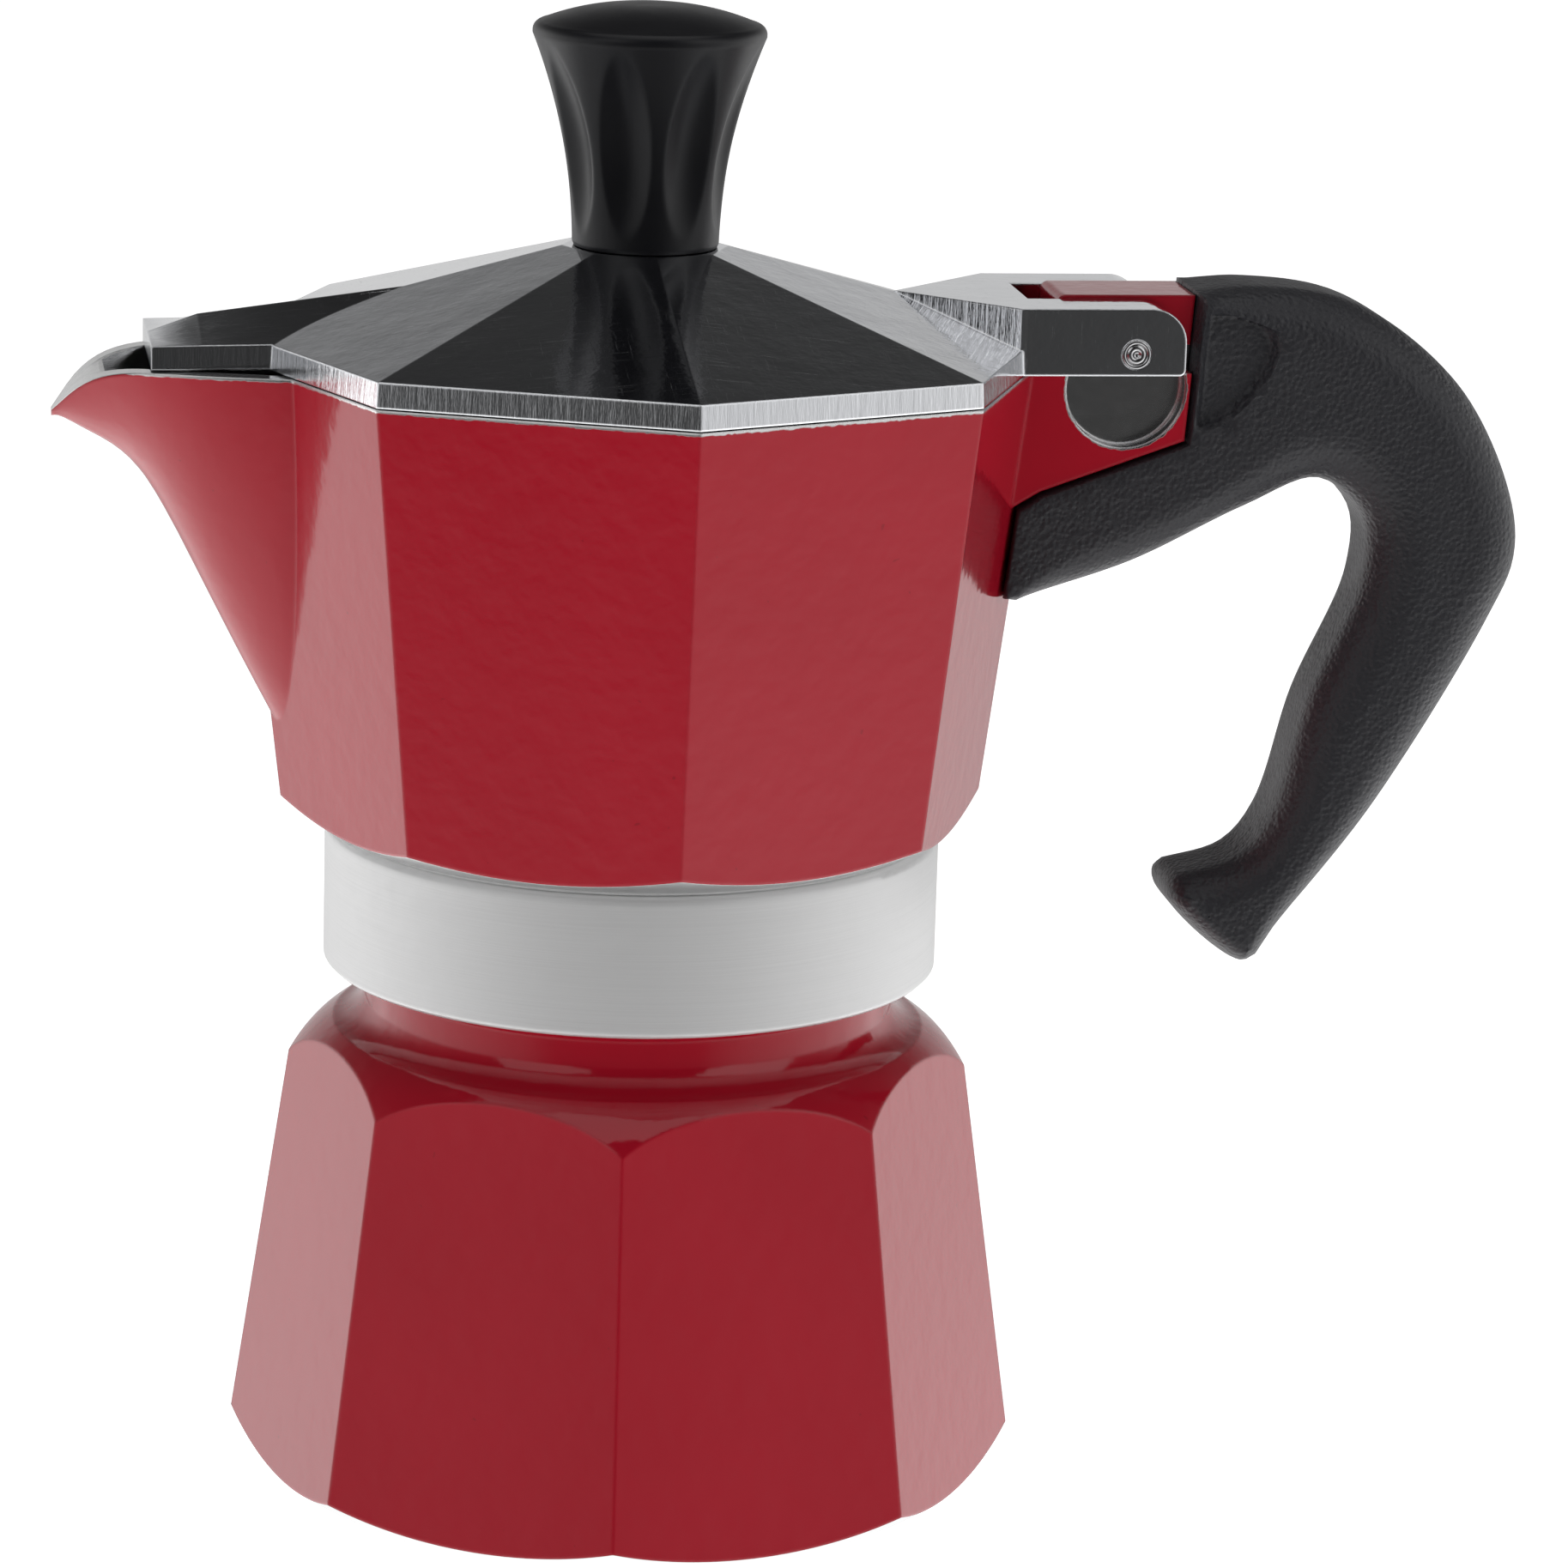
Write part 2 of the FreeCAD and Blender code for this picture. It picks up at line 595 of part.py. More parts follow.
def make_lid():
    body = new_body("lid")
    block = outline(new_sketch(body, "hinge_block_outline", "XZ"), [
        ("block_start", "lid_bottom"), ("pin_x + 3.9", "lid_bottom"),
        ("via", "pin_x + 4.25", "lid_bottom + 0.15"), ("pin_x + 4.4", "lid_bottom + 0.5"),
        ("pin_x + 4.4", "hinge_plane - 3"), ("via", "pin_x + 3.52", "hinge_plane - 0.88"),
        ("pin_x + 1.4", "hinge_plane"), ("block_start", "hinge_plane")])
    extruded(body, "hinge_block", block, "ear_width", symmetric=True)
    for name, side in (("front", "-1"), ("back", "1")):
        wedge = outline(new_sketch(body, name + "_wedge_outline", "XY", "hinge_plane + 1"), [
            ("block_start", "0"), ("block_shoulder", side + " * ear_width / 2"),
            ("block_shoulder", side + " * (ear_width / 2 + 2)"),
            ("20", side + " * (ear_width / 2 + 2)"), ("20", "0")])
        extruded(body, name + "_wedge", wedge, "10", cut=True)
    rim = polygon(new_sketch(body, "lid_rim", "XY", "lid_bottom"), "rim_radius")
    edge = polygon(new_sketch(body, "lid_edge_outline", "XY", "lid_edge"), "lid_edge_radius")
    crown = polygon(new_sketch(body, "lid_crown", "XY", "lid_top"), "lid_top_radius")
    loft(body, "lid_roof", [rim, edge, crown])
    cover = []
    for index, (x, half_width, side_edge, ridge) in enumerate(COVER):
        slice_name = "cover_slice%d" % index
        cover.append(cover_section(body, slice_name, x, half_width, side_edge, ridge, "lid_bottom"))
    loft(body, "spout_cover", cover)
    under = [
        polygon(new_sketch(body, "lid_under_rim", "XY", "lid_bottom - 0.1"), "33.3"),
        polygon(new_sketch(body, "lid_under_edge", "XY", "lid_bottom + 0.7"), "33.1"),
        polygon(new_sketch(body, "lid_under_crown", "XY", "lid_top - 2.4"), "6.5")]
    loft(body, "lid_hollow", under, cut=True)
    inside = []
    for index, (x, half_width, side_edge, ridge) in enumerate(COVER_INSIDE):
        slice_name = "inside_slice%d" % index
        inside.append(cover_section(body, slice_name, x, half_width, side_edge, ridge, "lid_bottom - 0.1"))
    loft(body, "cover_hollow", inside, cut=True)
    slot = outline(new_sketch(body, "hinge_slot_outline", "XY", "hinge_plane + 1"), [
        ("pin_x - 8.7", "-slot_width / 2"), ("pin_x + 6", "-slot_width / 2"),
        ("pin_x + 6", "slot_width / 2"), ("pin_x - 8.7", "slot_width / 2")])
    extruded(body, "hinge_slot", slot, "10", cut=True)
    pin_hole = circle(new_sketch(body, "lid_pin_hole_outline", "XZ"), "pin_x", "pin_z", "pin_radius")
    extruded(body, "lid_pin_hole", pin_hole, "ear_width + 2", cut=True, symmetric=True)
    knob_hole = new_sketch(body, "knob_hole_outline", "XY", "lid_top + 1")
    circle(knob_hole, "0", "0", "screw_radius + screw_clearance")
    extruded(body, "knob_hole", knob_hole, "6", cut=True)


def make_hinge_pin():
    body = new_body("hinge_pin")
    rod = circle(new_sketch(body, "hinge_pin_outline", "XZ"), "pin_x", "pin_z", "pin_radius")
    extruded(body, "hinge_pin_rod", rod, "pin_length", symmetric=True)
    # the peened ends are dished
    for name, offset, backwards in (("front", "pin_length / 2", False), ("back", "-pin_length / 2", True)):
        dish = circle(new_sketch(body, name + "_dish_outline", "XZ", offset), "pin_x", "pin_z", "0.5")
        extruded(body, name + "_dish", dish, "0.25", cut=True, backwards=backwards)


def make_knob():
    body = new_body("knob")
    turned(body, "knob_turned", [
        ("0", "lid_top"), ("knob_base", "lid_top"), ("via", "7.55", "122"),
        ("knob_radius", "130.2"), ("via", "knob_radius - 0.45", "131.15"), ("knob_radius - 1.6", "131.6"),
        ("via", "4.8", "132.6"), ("0.8", "knob_top"), ("0", "knob_top")])
    low = circle(new_sketch(body, "flute_low", "XY", "113.6"), "8.0", "0", "1.75")
    middle = circle(new_sketch(body, "flute_middle", "XY", "122"), "8.9", "0", "2.0")
    high = circle(new_sketch(body, "flute_high", "XY", "128"), "11.7", "0", "2.6")
    flute = loft(body, "knob_flute", [low, middle, high], cut=True, ruled=False)
    ring_of(body, "knob_flutes", flute, FLUTES)
    socket = new_sketch(body, "knob_socket_outline", "XY", "knob_socket_top")
    circle(socket, "0", "0", "knob_socket")
    extruded(body, "knob_socket_bore", socket, "knob_socket_top - lid_top", cut=True)
    body.Placement = FreeCAD.Placement(Vector(), Rotation(Vector(0, 0, 1), 180 / FLUTES))

    body = new_body("knob_insert")
    turned(body, "knob_insert_turned", [
        ("screw_radius", "lid_top + 0.6"), ("knob_socket", "lid_top + 0.6"),
        ("knob_socket", "knob_socket_top"), ("screw_radius", "knob_socket_top")])

    body = new_body("knob_washer")
    turned(body, "knob_washer_ring", [
        ("screw_radius + screw_clearance", "lid_top - 3.0"), ("washer_radius", "lid_top - 3.0"),
        ("washer_radius", "lid_top - 2.4"), ("screw_radius + screw_clearance", "lid_top - 2.4")])

    body = new_body("knob_screw")
    turned(body, "knob_screw_turned", [
        ("0", "lid_top - 4.9"), ("1", "lid_top - 4.9"), ("via", "2.3", "lid_top - 4.5"),
        ("knob_screw_head", "lid_top - 3.6"), ("knob_screw_head", "lid_top - 3.0"),
        ("screw_radius", "lid_top - 3.0"), ("screw_radius", "knob_socket_top - 1.4"),
        ("screw_radius - 0.4", "knob_socket_top - 1"), ("0", "knob_socket_top - 1")])
    drive = outline(new_sketch(body, "knob_screw_drive", "XY", "lid_top - 5.2"), [
        ("-3.5", "-0.4"), ("3.5", "-0.4"), ("3.5", "0.4"), ("-3.5", "0.4")])
    extruded(body, "knob_screw_slot", drive, "1.3", cut=True, backwards=True)


# side view of the handle: the outer curve from the lug round to the tail, and the inner
# curve back from the tail to the collector, each as (x, z)
HANDLE_OUTER = [
    (48.3, 108.8), (54.0, 109.2), (62.9, 107.7), (72.7, 100.4), (78.0, 90.6), (78.7, 84.8),
    (76.6, 79.2), (67.2, 62.6), (57.6, 50.0)]
HANDLE_INNER = [
    (49.2, 55.6), (54.6, 57.2), (57.3, 60.6), (60.3, 71.4), (64.8, 82.6), (64.6, 88.4),
    (60.4, 91.9), (53.6, 89.4), (43.4, 84.4), (31.0, 80.3)]
HANDLE_TAIL = [(55.0, 47.6), (48.4, 53.4)]


def make_handle():
    body = new_body("handle")
    sketch = new_sketch(body, "handle_side_view", "XZ")
    curves = []
    for points in (HANDLE_OUTER, HANDLE_INNER):
        curve = Part.BSplineCurve()
        curve.interpolate([Vector(x, z, 0) for x, z in points])
        curves.append(curve)
    outer = sketch.addGeometry(curves[0])
    inner = sketch.addGeometry(curves[1])
    tail_low, tail_high = HANDLE_TAIL
    stops = [HANDLE_OUTER[-1], tail_low, tail_high, HANDLE_INNER[0]]
    vias = [(56.6, 48.2), None, (48.3, 54.8)]
    previous = (outer, 2)
    for start, finish, via in zip(stops, stops[1:], vias):
        first = Vector(*start, 0)
        last = Vector(*finish, 0)
        if via is None:
            edge = sketch.addGeometry(Part.LineSegment(first, last))
            head, foot = 1, 2
        else:
            middle = Vector(*via, 0)
            turns_left = (middle - first).cross(last - first).z > 0
            order = (first, middle, last) if turns_left else (last, middle, first)
            edge = sketch.addGeometry(Part.Arc(*order))
            head, foot = (1, 2) if turns_left else (2, 1)
        sketch.addConstraint(Sketcher.Constraint("Coincident", previous[0], previous[1], edge, head))
        previous = (edge, foot)
    sketch.addConstraint(Sketcher.Constraint("Coincident", previous[0], previous[1], inner, 1))
    front = [HANDLE_INNER[-1], (31.0, 88.9), (34.6, 91.1), (47.4, 95.6), HANDLE_OUTER[0]]
    previous = (inner, 2)
    for start, finish in zip(front, front[1:]):
        edge = sketch.addGeometry(Part.LineSegment(Vector(*start, 0), Vector(*finish, 0)))
        sketch.addConstraint(Sketcher.Constraint("Coincident", previous[0], previous[1], edge, 1))
        previous = (edge, 2)
    sketch.addConstraint(Sketcher.Constraint("Coincident", previous[0], previous[1], outer, 1))
    extruded(body, "handle_grip", sketch, "handle_width", symmetric=True)

    low_radius = "rim_radius + fit_gap - collector_taper * (rim_height - fit_base)"
    low = polygon(new_sketch(body, "handle_fit_low", "XY", "fit_base"), low_radius)
    high = polygon(new_sketch(body, "handle_fit_high", "XY", "rim_height"), "rim_radius + fit_gap")
    loft(body, "handle_fit", [low, high], cut=True)
    mortise = outline(new_sketch(body, "mortise_outline", "XZ"), [
        ("handle_front - 3", "tenon_bottom - 0.2"), ("tenon_end + 0.3", "tenon_bottom - 0.2"),
        ("tenon_end + 0.3", "tenon_top + 0.2"), ("handle_front - 3", "tenon_top + 0.2")])
    extruded(body, "mortise", mortise, "tenon_width + 0.4", cut=True, symmetric=True)
    screw_hole = new_sketch(body, "handle_screw_hole_outline", "XY", "tenon_bottom + 0.5")
    circle(screw_hole, "screw_x", "0", "screw_radius + screw_clearance")
    extruded(body, "handle_screw_hole", screw_hole, "14", cut=True)
    counterbore = new_sketch(body, "counterbore_outline", "XY", "screw_seat")
    circle(counterbore, "screw_x", "0", "screw_head + 0.3")
    extruded(body, "counterbore", counterbore, "8", cut=True)

    body = new_body("handle_screw")
    turned(body, "handle_screw_turned", [
        ("0", "screw_seat - 2.1"), ("screw_head - 0.8", "screw_seat - 2.0"),
        ("screw_head", "screw_seat - 1.3"), ("screw_head", "screw_seat"), ("screw_radius", "screw_seat"),
        ("screw_radius", "tenon_top - 1.8"), ("screw_radius - 0.4", "tenon_top - 1.4"),
        ("0", "tenon_top - 1.4")])
    drive = outline(new_sketch(body, "handle_screw_drive", "XY", "screw_seat - 2.2"), [
        ("-3.5", "-0.4"), ("3.5", "-0.4"), ("3.5", "0.4"), ("-3.5", "0.4")])
    extruded(body, "handle_screw_slot", drive, "1", cut=True, backwards=True)
    body.Placement = FreeCAD.Placement(Vector(SIZES["screw_x"], 0, 0), Rotation())


def check_and_export():
    doc.recompute()
    for item in doc.Objects:
        if "Invalid" in item.State or "Error" in item.State:
            raise RuntimeError("%s failed: %s" % (item.Label, item.State))
    for piece in pieces:
        shape = piece.Shape
        if shape.isNull() or not shape.isValid() or len(shape.Solids) != 1:
            raise RuntimeError("%s has no single valid solid" % piece.Label)
    os.makedirs("parts", exist_ok=True)
    for piece in pieces:
        piece.Shape.exportStep("parts/%s.step" % piece.Label)
        box = piece.Shape.BoundBox
        print("%-15s %8.0f mm3  x %6.1f..%6.1f  y %6.1f..%6.1f  z %6.1f..%6.1f" % (
            piece.Label, piece.Shape.Volume, box.XMin, box.XMax, box.YMin, box.YMax, box.ZMin, box.ZMax))


make_boiler()
make_valve()
make_funnel()
make_seal()
make_collector()
make_column()
make_lid()
make_hinge_pin()
make_knob()
make_handle()
check_and_export()
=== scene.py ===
import json
import math

import bmesh
import bpy
from mathutils import Matrix, Vector
from mathutils.geometry import delaunay_2d_cdt


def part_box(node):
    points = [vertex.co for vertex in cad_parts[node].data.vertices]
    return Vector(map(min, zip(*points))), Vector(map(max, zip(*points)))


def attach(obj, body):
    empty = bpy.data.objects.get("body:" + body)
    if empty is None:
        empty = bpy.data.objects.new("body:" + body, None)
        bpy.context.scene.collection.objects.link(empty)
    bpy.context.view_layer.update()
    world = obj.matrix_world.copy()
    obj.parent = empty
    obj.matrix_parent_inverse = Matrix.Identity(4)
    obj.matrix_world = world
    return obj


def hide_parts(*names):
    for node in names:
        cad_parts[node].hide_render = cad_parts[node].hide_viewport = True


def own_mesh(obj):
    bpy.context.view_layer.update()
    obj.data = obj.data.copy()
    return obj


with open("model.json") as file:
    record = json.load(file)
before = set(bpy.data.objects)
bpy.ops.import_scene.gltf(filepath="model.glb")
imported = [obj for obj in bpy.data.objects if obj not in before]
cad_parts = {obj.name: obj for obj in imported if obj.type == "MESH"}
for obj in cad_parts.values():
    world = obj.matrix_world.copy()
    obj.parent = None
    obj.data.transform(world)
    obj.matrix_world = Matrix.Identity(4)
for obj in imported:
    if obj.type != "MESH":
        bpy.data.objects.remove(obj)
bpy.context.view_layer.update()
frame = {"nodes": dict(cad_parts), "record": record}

# Looks for a small red stovetop moka pot, in metres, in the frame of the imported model:
# +Z up, handle to +X, spout to -X, hinge pin along Y, the front of the pot towards -Y.

MM = 0.001
nodes = frame["nodes"]


# ---------------------------------------------------------------- node graphs

def node(tree, kind, inputs=None, **settings):
    """Add a shader node; an input is either a value or the socket that feeds it."""
    made = tree.nodes.new("ShaderNode" + kind)
    for name, value in settings.items():
        setattr(made, name, value)
    for key, value in (inputs or {}).items():
        if isinstance(value, bpy.types.NodeSocket):
            tree.links.new(value, made.inputs[key])
        else:
            made.inputs[key].default_value = value
    return made


def calc(tree, operation, first, second=0.0):
    return node(tree, "Math", {0: first, 1: second}, operation=operation).outputs[0]


def above(tree, value, limit, softness=0.02):
    """0 below the limit and 1 above it, over a short soft step."""
    limits = {"From Min": limit - softness, "From Max": limit + softness}
    return node(tree, "MapRange", {"Value": value, **limits}).outputs["Result"]


def below(tree, value, limit, softness=0.02):
    return calc(tree, "SUBTRACT", 1.0, above(tree, value, limit, softness))


def all_of(tree, *masks):
    result = masks[0]
    for mask in masks[1:]:
        result = calc(tree, "MINIMUM", result, mask)
    return result


def any_of(tree, *masks):
    result = masks[0]
    for mask in masks[1:]:
        result = calc(tree, "MAXIMUM", result, mask)
    return result


def blend_numbers(tree, mask, low, high):
    mix = node(tree, "Mix", {"Factor": mask, "A": low, "B": high}, data_type="FLOAT")
    return mix.outputs["Result"]


def blend_colours(tree, mask, low, high):
    mix = node(tree, "Mix", data_type="RGBA")
    for socket, value in ((mix.inputs[0], mask), (mix.inputs[6], low), (mix.inputs[7], high)):
        if isinstance(value, bpy.types.NodeSocket):
            tree.links.new(value, socket)
        else:
            socket.default_value = value
    return mix.outputs[2]


def noise(tree, place, scale, detail=3.0, roughness=0.5, stretch=(1, 1, 1)):
    """Noise in millimetres of the piece's own space, optionally stretched."""
    scaled = node(tree, "VectorMath", {0: place, 1: stretch}, operation="MULTIPLY").outputs[0]
    inputs = {"Vector": scaled, "Scale": scale, "Detail": detail, "Roughness": roughness}
    return node(tree, "TexNoise", inputs).outputs["Fac"]


def bump(tree, height, distance, strength=1.0, after=None):
    """Distance is the height in metres that a full step of the texture stands for."""
    inputs = {"Height": height, "Distance": distance, "Strength": strength}
    if after is not None:
        inputs["Normal"] = after
    return node(tree, "Bump", inputs).outputs["Normal"]


def rounded_normal(tree, radius):
    """The surface normal with sharp edges softened over a small radius."""
    return node(tree, "Bevel", {"Radius": radius}, samples=6).outputs[0]


def new_material(name):
    material = bpy.data.materials.new(name)
    material.use_nodes = True
    tree = material.node_tree
    tree.nodes.clear()
    output = node(tree, "OutputMaterial")
    shader = node(tree, "BsdfPrincipled")
    tree.links.new(shader.outputs[0], output.inputs["Surface"])
    coordinates = node(tree, "TexCoord")
    place = node(tree, "VectorMath", {0: coordinates.outputs["Object"], "Scale": 1 / MM}, operation="SCALE")
    return material, tree, shader, place.outputs[0], coordinates.outputs["Normal"]


def feed(tree, shader, **sockets):
    """Set or link the shader's sockets, with _ standing for a space in the name."""
    for name, value in sockets.items():
        socket = shader.inputs[name.replace("_", " ")]
        if isinstance(value, bpy.types.NodeSocket):
            tree.links.new(value, socket)
        else:
            socket.default_value = value


# ---------------------------------------------------------------- enamelled castings

ENAMEL = (0.40, 0.008, 0.022, 1)
ENAMEL_DEEP = (0.33, 0.005, 0.015, 1)
BARE_METAL = (0.78, 0.78, 0.78, 1)
DULL_METAL = (0.66, 0.66, 0.66, 1)
ENAMEL_IOR = 1.46
ENAMEL_SPECK = (0.12, 0.004, 0.008, 1)
CASTING_EDGE = 0.45 * MM
LID_EDGE = 0.28 * MM
HINGE_LENGTH = 14.6

# heights and distances in mm that bound the bare metal
BAND_TOP = 61.2
RAGGED_EDGE = 0.35
FOOT_TOP = 8.0
BOILER_FLOOR = 4.5
NECK_BASE = 48.0
NECK_RADIUS = 25.5
VALVE_SEAT_RADIUS = 6.35
UNDERCUT_TOP = 67.0
BOWL_FLOOR = 68.0
RIM_EDGE = 101.84
HINGE_BASE = 104.0
LUG_START = 34.0
POCKET_START = 36.0
POCKET_DROP = 3.6
POCKET_RADIUS = 5.5
TENON_START = 2.05
CHANNEL_START = -30.0
POURING_EDGE_START = -36.0


def parts_of(tree, vector):
    split = node(tree, "SeparateXYZ", {0: vector})
    return split.outputs[0], split.outputs[1], split.outputs[2]


def casting_material(name, bare_where):
    """Red enamel over cast aluminium. bare_where builds the mask of the unpainted metal."""
    material, tree, shader, place, normal = new_material(name)
    wander = node(tree, "TexNoise", {"Vector": place, "Scale": 1.7, "Detail": 3.0}).outputs["Color"]
    offset = node(tree, "VectorMath", {0: wander, 1: (0.5, 0.5, 0.5)}, operation="SUBTRACT").outputs[0]
    spread = {0: offset, 1: (RAGGED_EDGE, RAGGED_EDGE, RAGGED_EDGE), 2: place}
    ragged = node(tree, "VectorMath", spread, operation="MULTIPLY_ADD").outputs[0]
    bare = bare_where(tree, ragged, normal)

    cloud = noise(tree, place, 0.045, detail=4.0)
    speck = above(tree, noise(tree, place, 1.1, detail=1.0), 0.80, 0.01)
    red = blend_colours(tree, cloud, ENAMEL_DEEP, ENAMEL)
    red = blend_colours(tree, calc(tree, "MULTIPLY", speck, 0.35), red, ENAMEL_SPECK)
    turning = noise(tree, place, 1.0, detail=5.0, roughness=0.7, stretch=(0.05, 0.05, 9.0))
    metal = blend_colours(tree, turning, DULL_METAL, BARE_METAL)
    peel = noise(tree, place, 0.42, detail=2.0)
    satin = noise(tree, place, 0.9, detail=3.0)
    enamel_gloss = blend_numbers(tree, peel, 0.05, 0.10)
    brushed = below(tree, parts_of(tree, place)[2], BAND_TOP - 0.2, 0.2)
    polished_gloss = blend_numbers(tree, satin, 0.10, 0.20)
    brushed_gloss = blend_numbers(tree, satin, 0.42, 0.52)
    metal_gloss = blend_numbers(tree, brushed, polished_gloss, brushed_gloss)
    soft_edges = rounded_normal(tree, CASTING_EDGE)
    enamel_surface = bump(tree, peel, 0.00008, 0.5, after=soft_edges)
    metal_surface = bump(tree, turning, 0.00002, 0.5, after=soft_edges)
    surface = node(tree, "Mix", data_type="VECTOR")
    for socket, value in ((0, bare), (4, enamel_surface), (5, metal_surface)):
        tree.links.new(value, surface.inputs[socket])
    feed(
        tree, shader, Base_Color=blend_colours(tree, bare, red, metal), IOR=ENAMEL_IOR,
        Metallic=calc(tree, "SUBTRACT", bare, calc(tree, "MULTIPLY", brushed, 0.45)),
        Anisotropic=0.7, Tangent=node(tree, "Tangent", direction_type="RADIAL", axis="Z").outputs[0],
        Roughness=blend_numbers(tree, bare, enamel_gloss, metal_gloss), Normal=surface.outputs[1])
    return material


def facing_in(tree, place, normal, limit=-0.1):
    """1 where the surface looks towards the pot's axis."""
    flat = node(tree, "VectorMath", {0: place, 1: (1, 1, 0)}, operation="MULTIPLY").outputs[0]
    outward = node(tree, "VectorMath", {0: flat}, operation="NORMALIZE").outputs[0]
    lean = node(tree, "VectorMath", {0: outward, 1: normal}, operation="DOT_PRODUCT").outputs["Value"]
    return below(tree, lean, limit)


def radius_of(tree, place, centre=(0, 0, 0), keep=(1, 1, 0)):
    away = node(tree, "VectorMath", {0: place, 1: centre}, operation="SUBTRACT").outputs[0]
    flat = node(tree, "VectorMath", {0: away, 1: keep}, operation="MULTIPLY").outputs[0]
    return node(tree, "VectorMath", {0: flat}, operation="LENGTH").outputs["Value"]


def boiler_bare(tree, place, normal):
    z = parts_of(tree, place)[2]
    nz = parts_of(tree, normal)[2]
    foot = all_of(tree, below(tree, nz, -0.35, 0.1), below(tree, z, FOOT_TOP))
    floor_inside = all_of(tree, above(tree, nz, 0.9), below(tree, z, BOILER_FLOOR))
    neck = all_of(tree, above(tree, z, NECK_BASE, 0.1), below(tree, radius_of(tree, place), NECK_RADIUS))
    valve_low, valve_high = [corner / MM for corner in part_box("valve_washer")]
    from_valve = radius_of(tree, place, (valve_low + valve_high) / 2, (1, 1, 1))
    boss = below(tree, from_valve, VALVE_SEAT_RADIUS, 0.1)
    return any_of(tree, foot, floor_inside, neck, facing_in(tree, place, normal), boss)


def collector_bare(tree, place, normal):
    x, y, z = parts_of(tree, place)
    nx, ny, nz = parts_of(tree, normal)
    band = below(tree, z, BAND_TOP, 0.1)
    undercut = all_of(tree, below(tree, nz, -0.35, 0.1), below(tree, z, UNDERCUT_TOP))
    bowl = all_of(tree, facing_in(tree, place, normal), below(tree, x, LUG_START))
    bowl_floor = all_of(tree, above(tree, nz, 0.9), below(tree, z, BOWL_FLOOR))
    below_hinge = below(tree, z, HINGE_BASE)
    rim = all_of(tree, above(tree, z, RIM_EDGE, 0.05), below_hinge)
    pouring_edge = all_of(tree, above(tree, nz, 0.55, 0.1), below(tree, x, POURING_EDGE_START, 1.0))
    side = calc(tree, "MULTIPLY", calc(tree, "SIGN", y), ny)
    channel = all_of(tree, below(tree, side, -0.05), below(tree, x, CHANNEL_START), above(tree, nz, 0.02))
    pin_low, pin_high = [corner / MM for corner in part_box("hinge_pin")]
    pocket_middle = (pin_low + pin_high) / 2 - Vector((0, 0, POCKET_DROP))
    from_pocket = radius_of(tree, place, pocket_middle, (1, 0, 1))
    in_pocket = below(tree, from_pocket, POCKET_RADIUS, 0.05)
    pocket = all_of(tree, in_pocket, above(tree, x, POCKET_START), below_hinge)
    tenon = above(tree, x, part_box("lid")[1].x / MM + TENON_START, 0.02)
    return any_of(tree, band, undercut, bowl, bowl_floor, rim, pouring_edge, channel, pocket, tenon)


# ---------------------------------------------------------------- plain metals and plastics

def polished_material(name):
    """Polished sheet-like casting with fine scratches and coarser file marks down its rim."""
    material, tree, shader, place, normal = new_material(name)
    nz = parts_of(tree, normal)[2]
    x = parts_of(tree, place)[0]
    hinge_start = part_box("lid")[1].x / MM - HINGE_LENGTH
    rim = all_of(tree, below(tree, calc(tree, "ABSOLUTE", nz), 0.5, 0.1), below(tree, x, hinge_start, 0.5))
    fine = noise(tree, place, 1.0, detail=4.0, roughness=0.8, stretch=(0.12, 5.0, 0.12))
    cross = noise(tree, place, 1.0, detail=4.0, roughness=0.8, stretch=(4.0, 0.2, 0.2))
    marks = noise(tree, place, 1.0, detail=4.0, roughness=0.7, stretch=(1.6, 1.6, 0.12))
    clouds = noise(tree, place, 0.12, detail=5.0, roughness=0.6)
    scratches = above(tree, calc(tree, "MAXIMUM", fine, cross), 0.66, 0.06)
    underside = below(tree, nz, -0.15, 0.05)
    rounded = rounded_normal(tree, LID_EDGE)
    smooth = bump(tree, calc(tree, "MULTIPLY", marks, rim), 0.00010, 0.5, after=rounded)
    scratched = bump(tree, scratches, 0.000004, 0.6, after=smooth)
    uneven = bump(tree, clouds, 0.00020, 0.35, after=scratched)
    feed(
        tree, shader, Metallic=1.0, Normal=uneven,
        Base_Color=blend_colours(tree, clouds, (0.72, 0.73, 0.76, 1), (0.84, 0.85, 0.87, 1)),
        Roughness=blend_numbers(tree, underside, blend_numbers(tree, scratches, 0.07, 0.26), 0.36))
    return material


def metal_material(name, dark, light, low_gloss, high_gloss, stretch=(0.2, 0.2, 6.0), relief=0.00001):
    material, tree, shader, place, normal = new_material(name)
    lines = noise(tree, place, 1.0, detail=4.0, roughness=0.7, stretch=stretch)
    clouds = noise(tree, place, 0.35, detail=4.0)
    tarnish = calc(tree, "MULTIPLY", lines, clouds)
    feed(
        tree, shader, Metallic=1.0, Normal=bump(tree, lines, relief, 0.5),
        Base_Color=blend_colours(tree, calc(tree, "MULTIPLY", tarnish, 2.6), dark, light),
        Roughness=blend_numbers(tree, clouds, low_gloss, high_gloss))
    return material


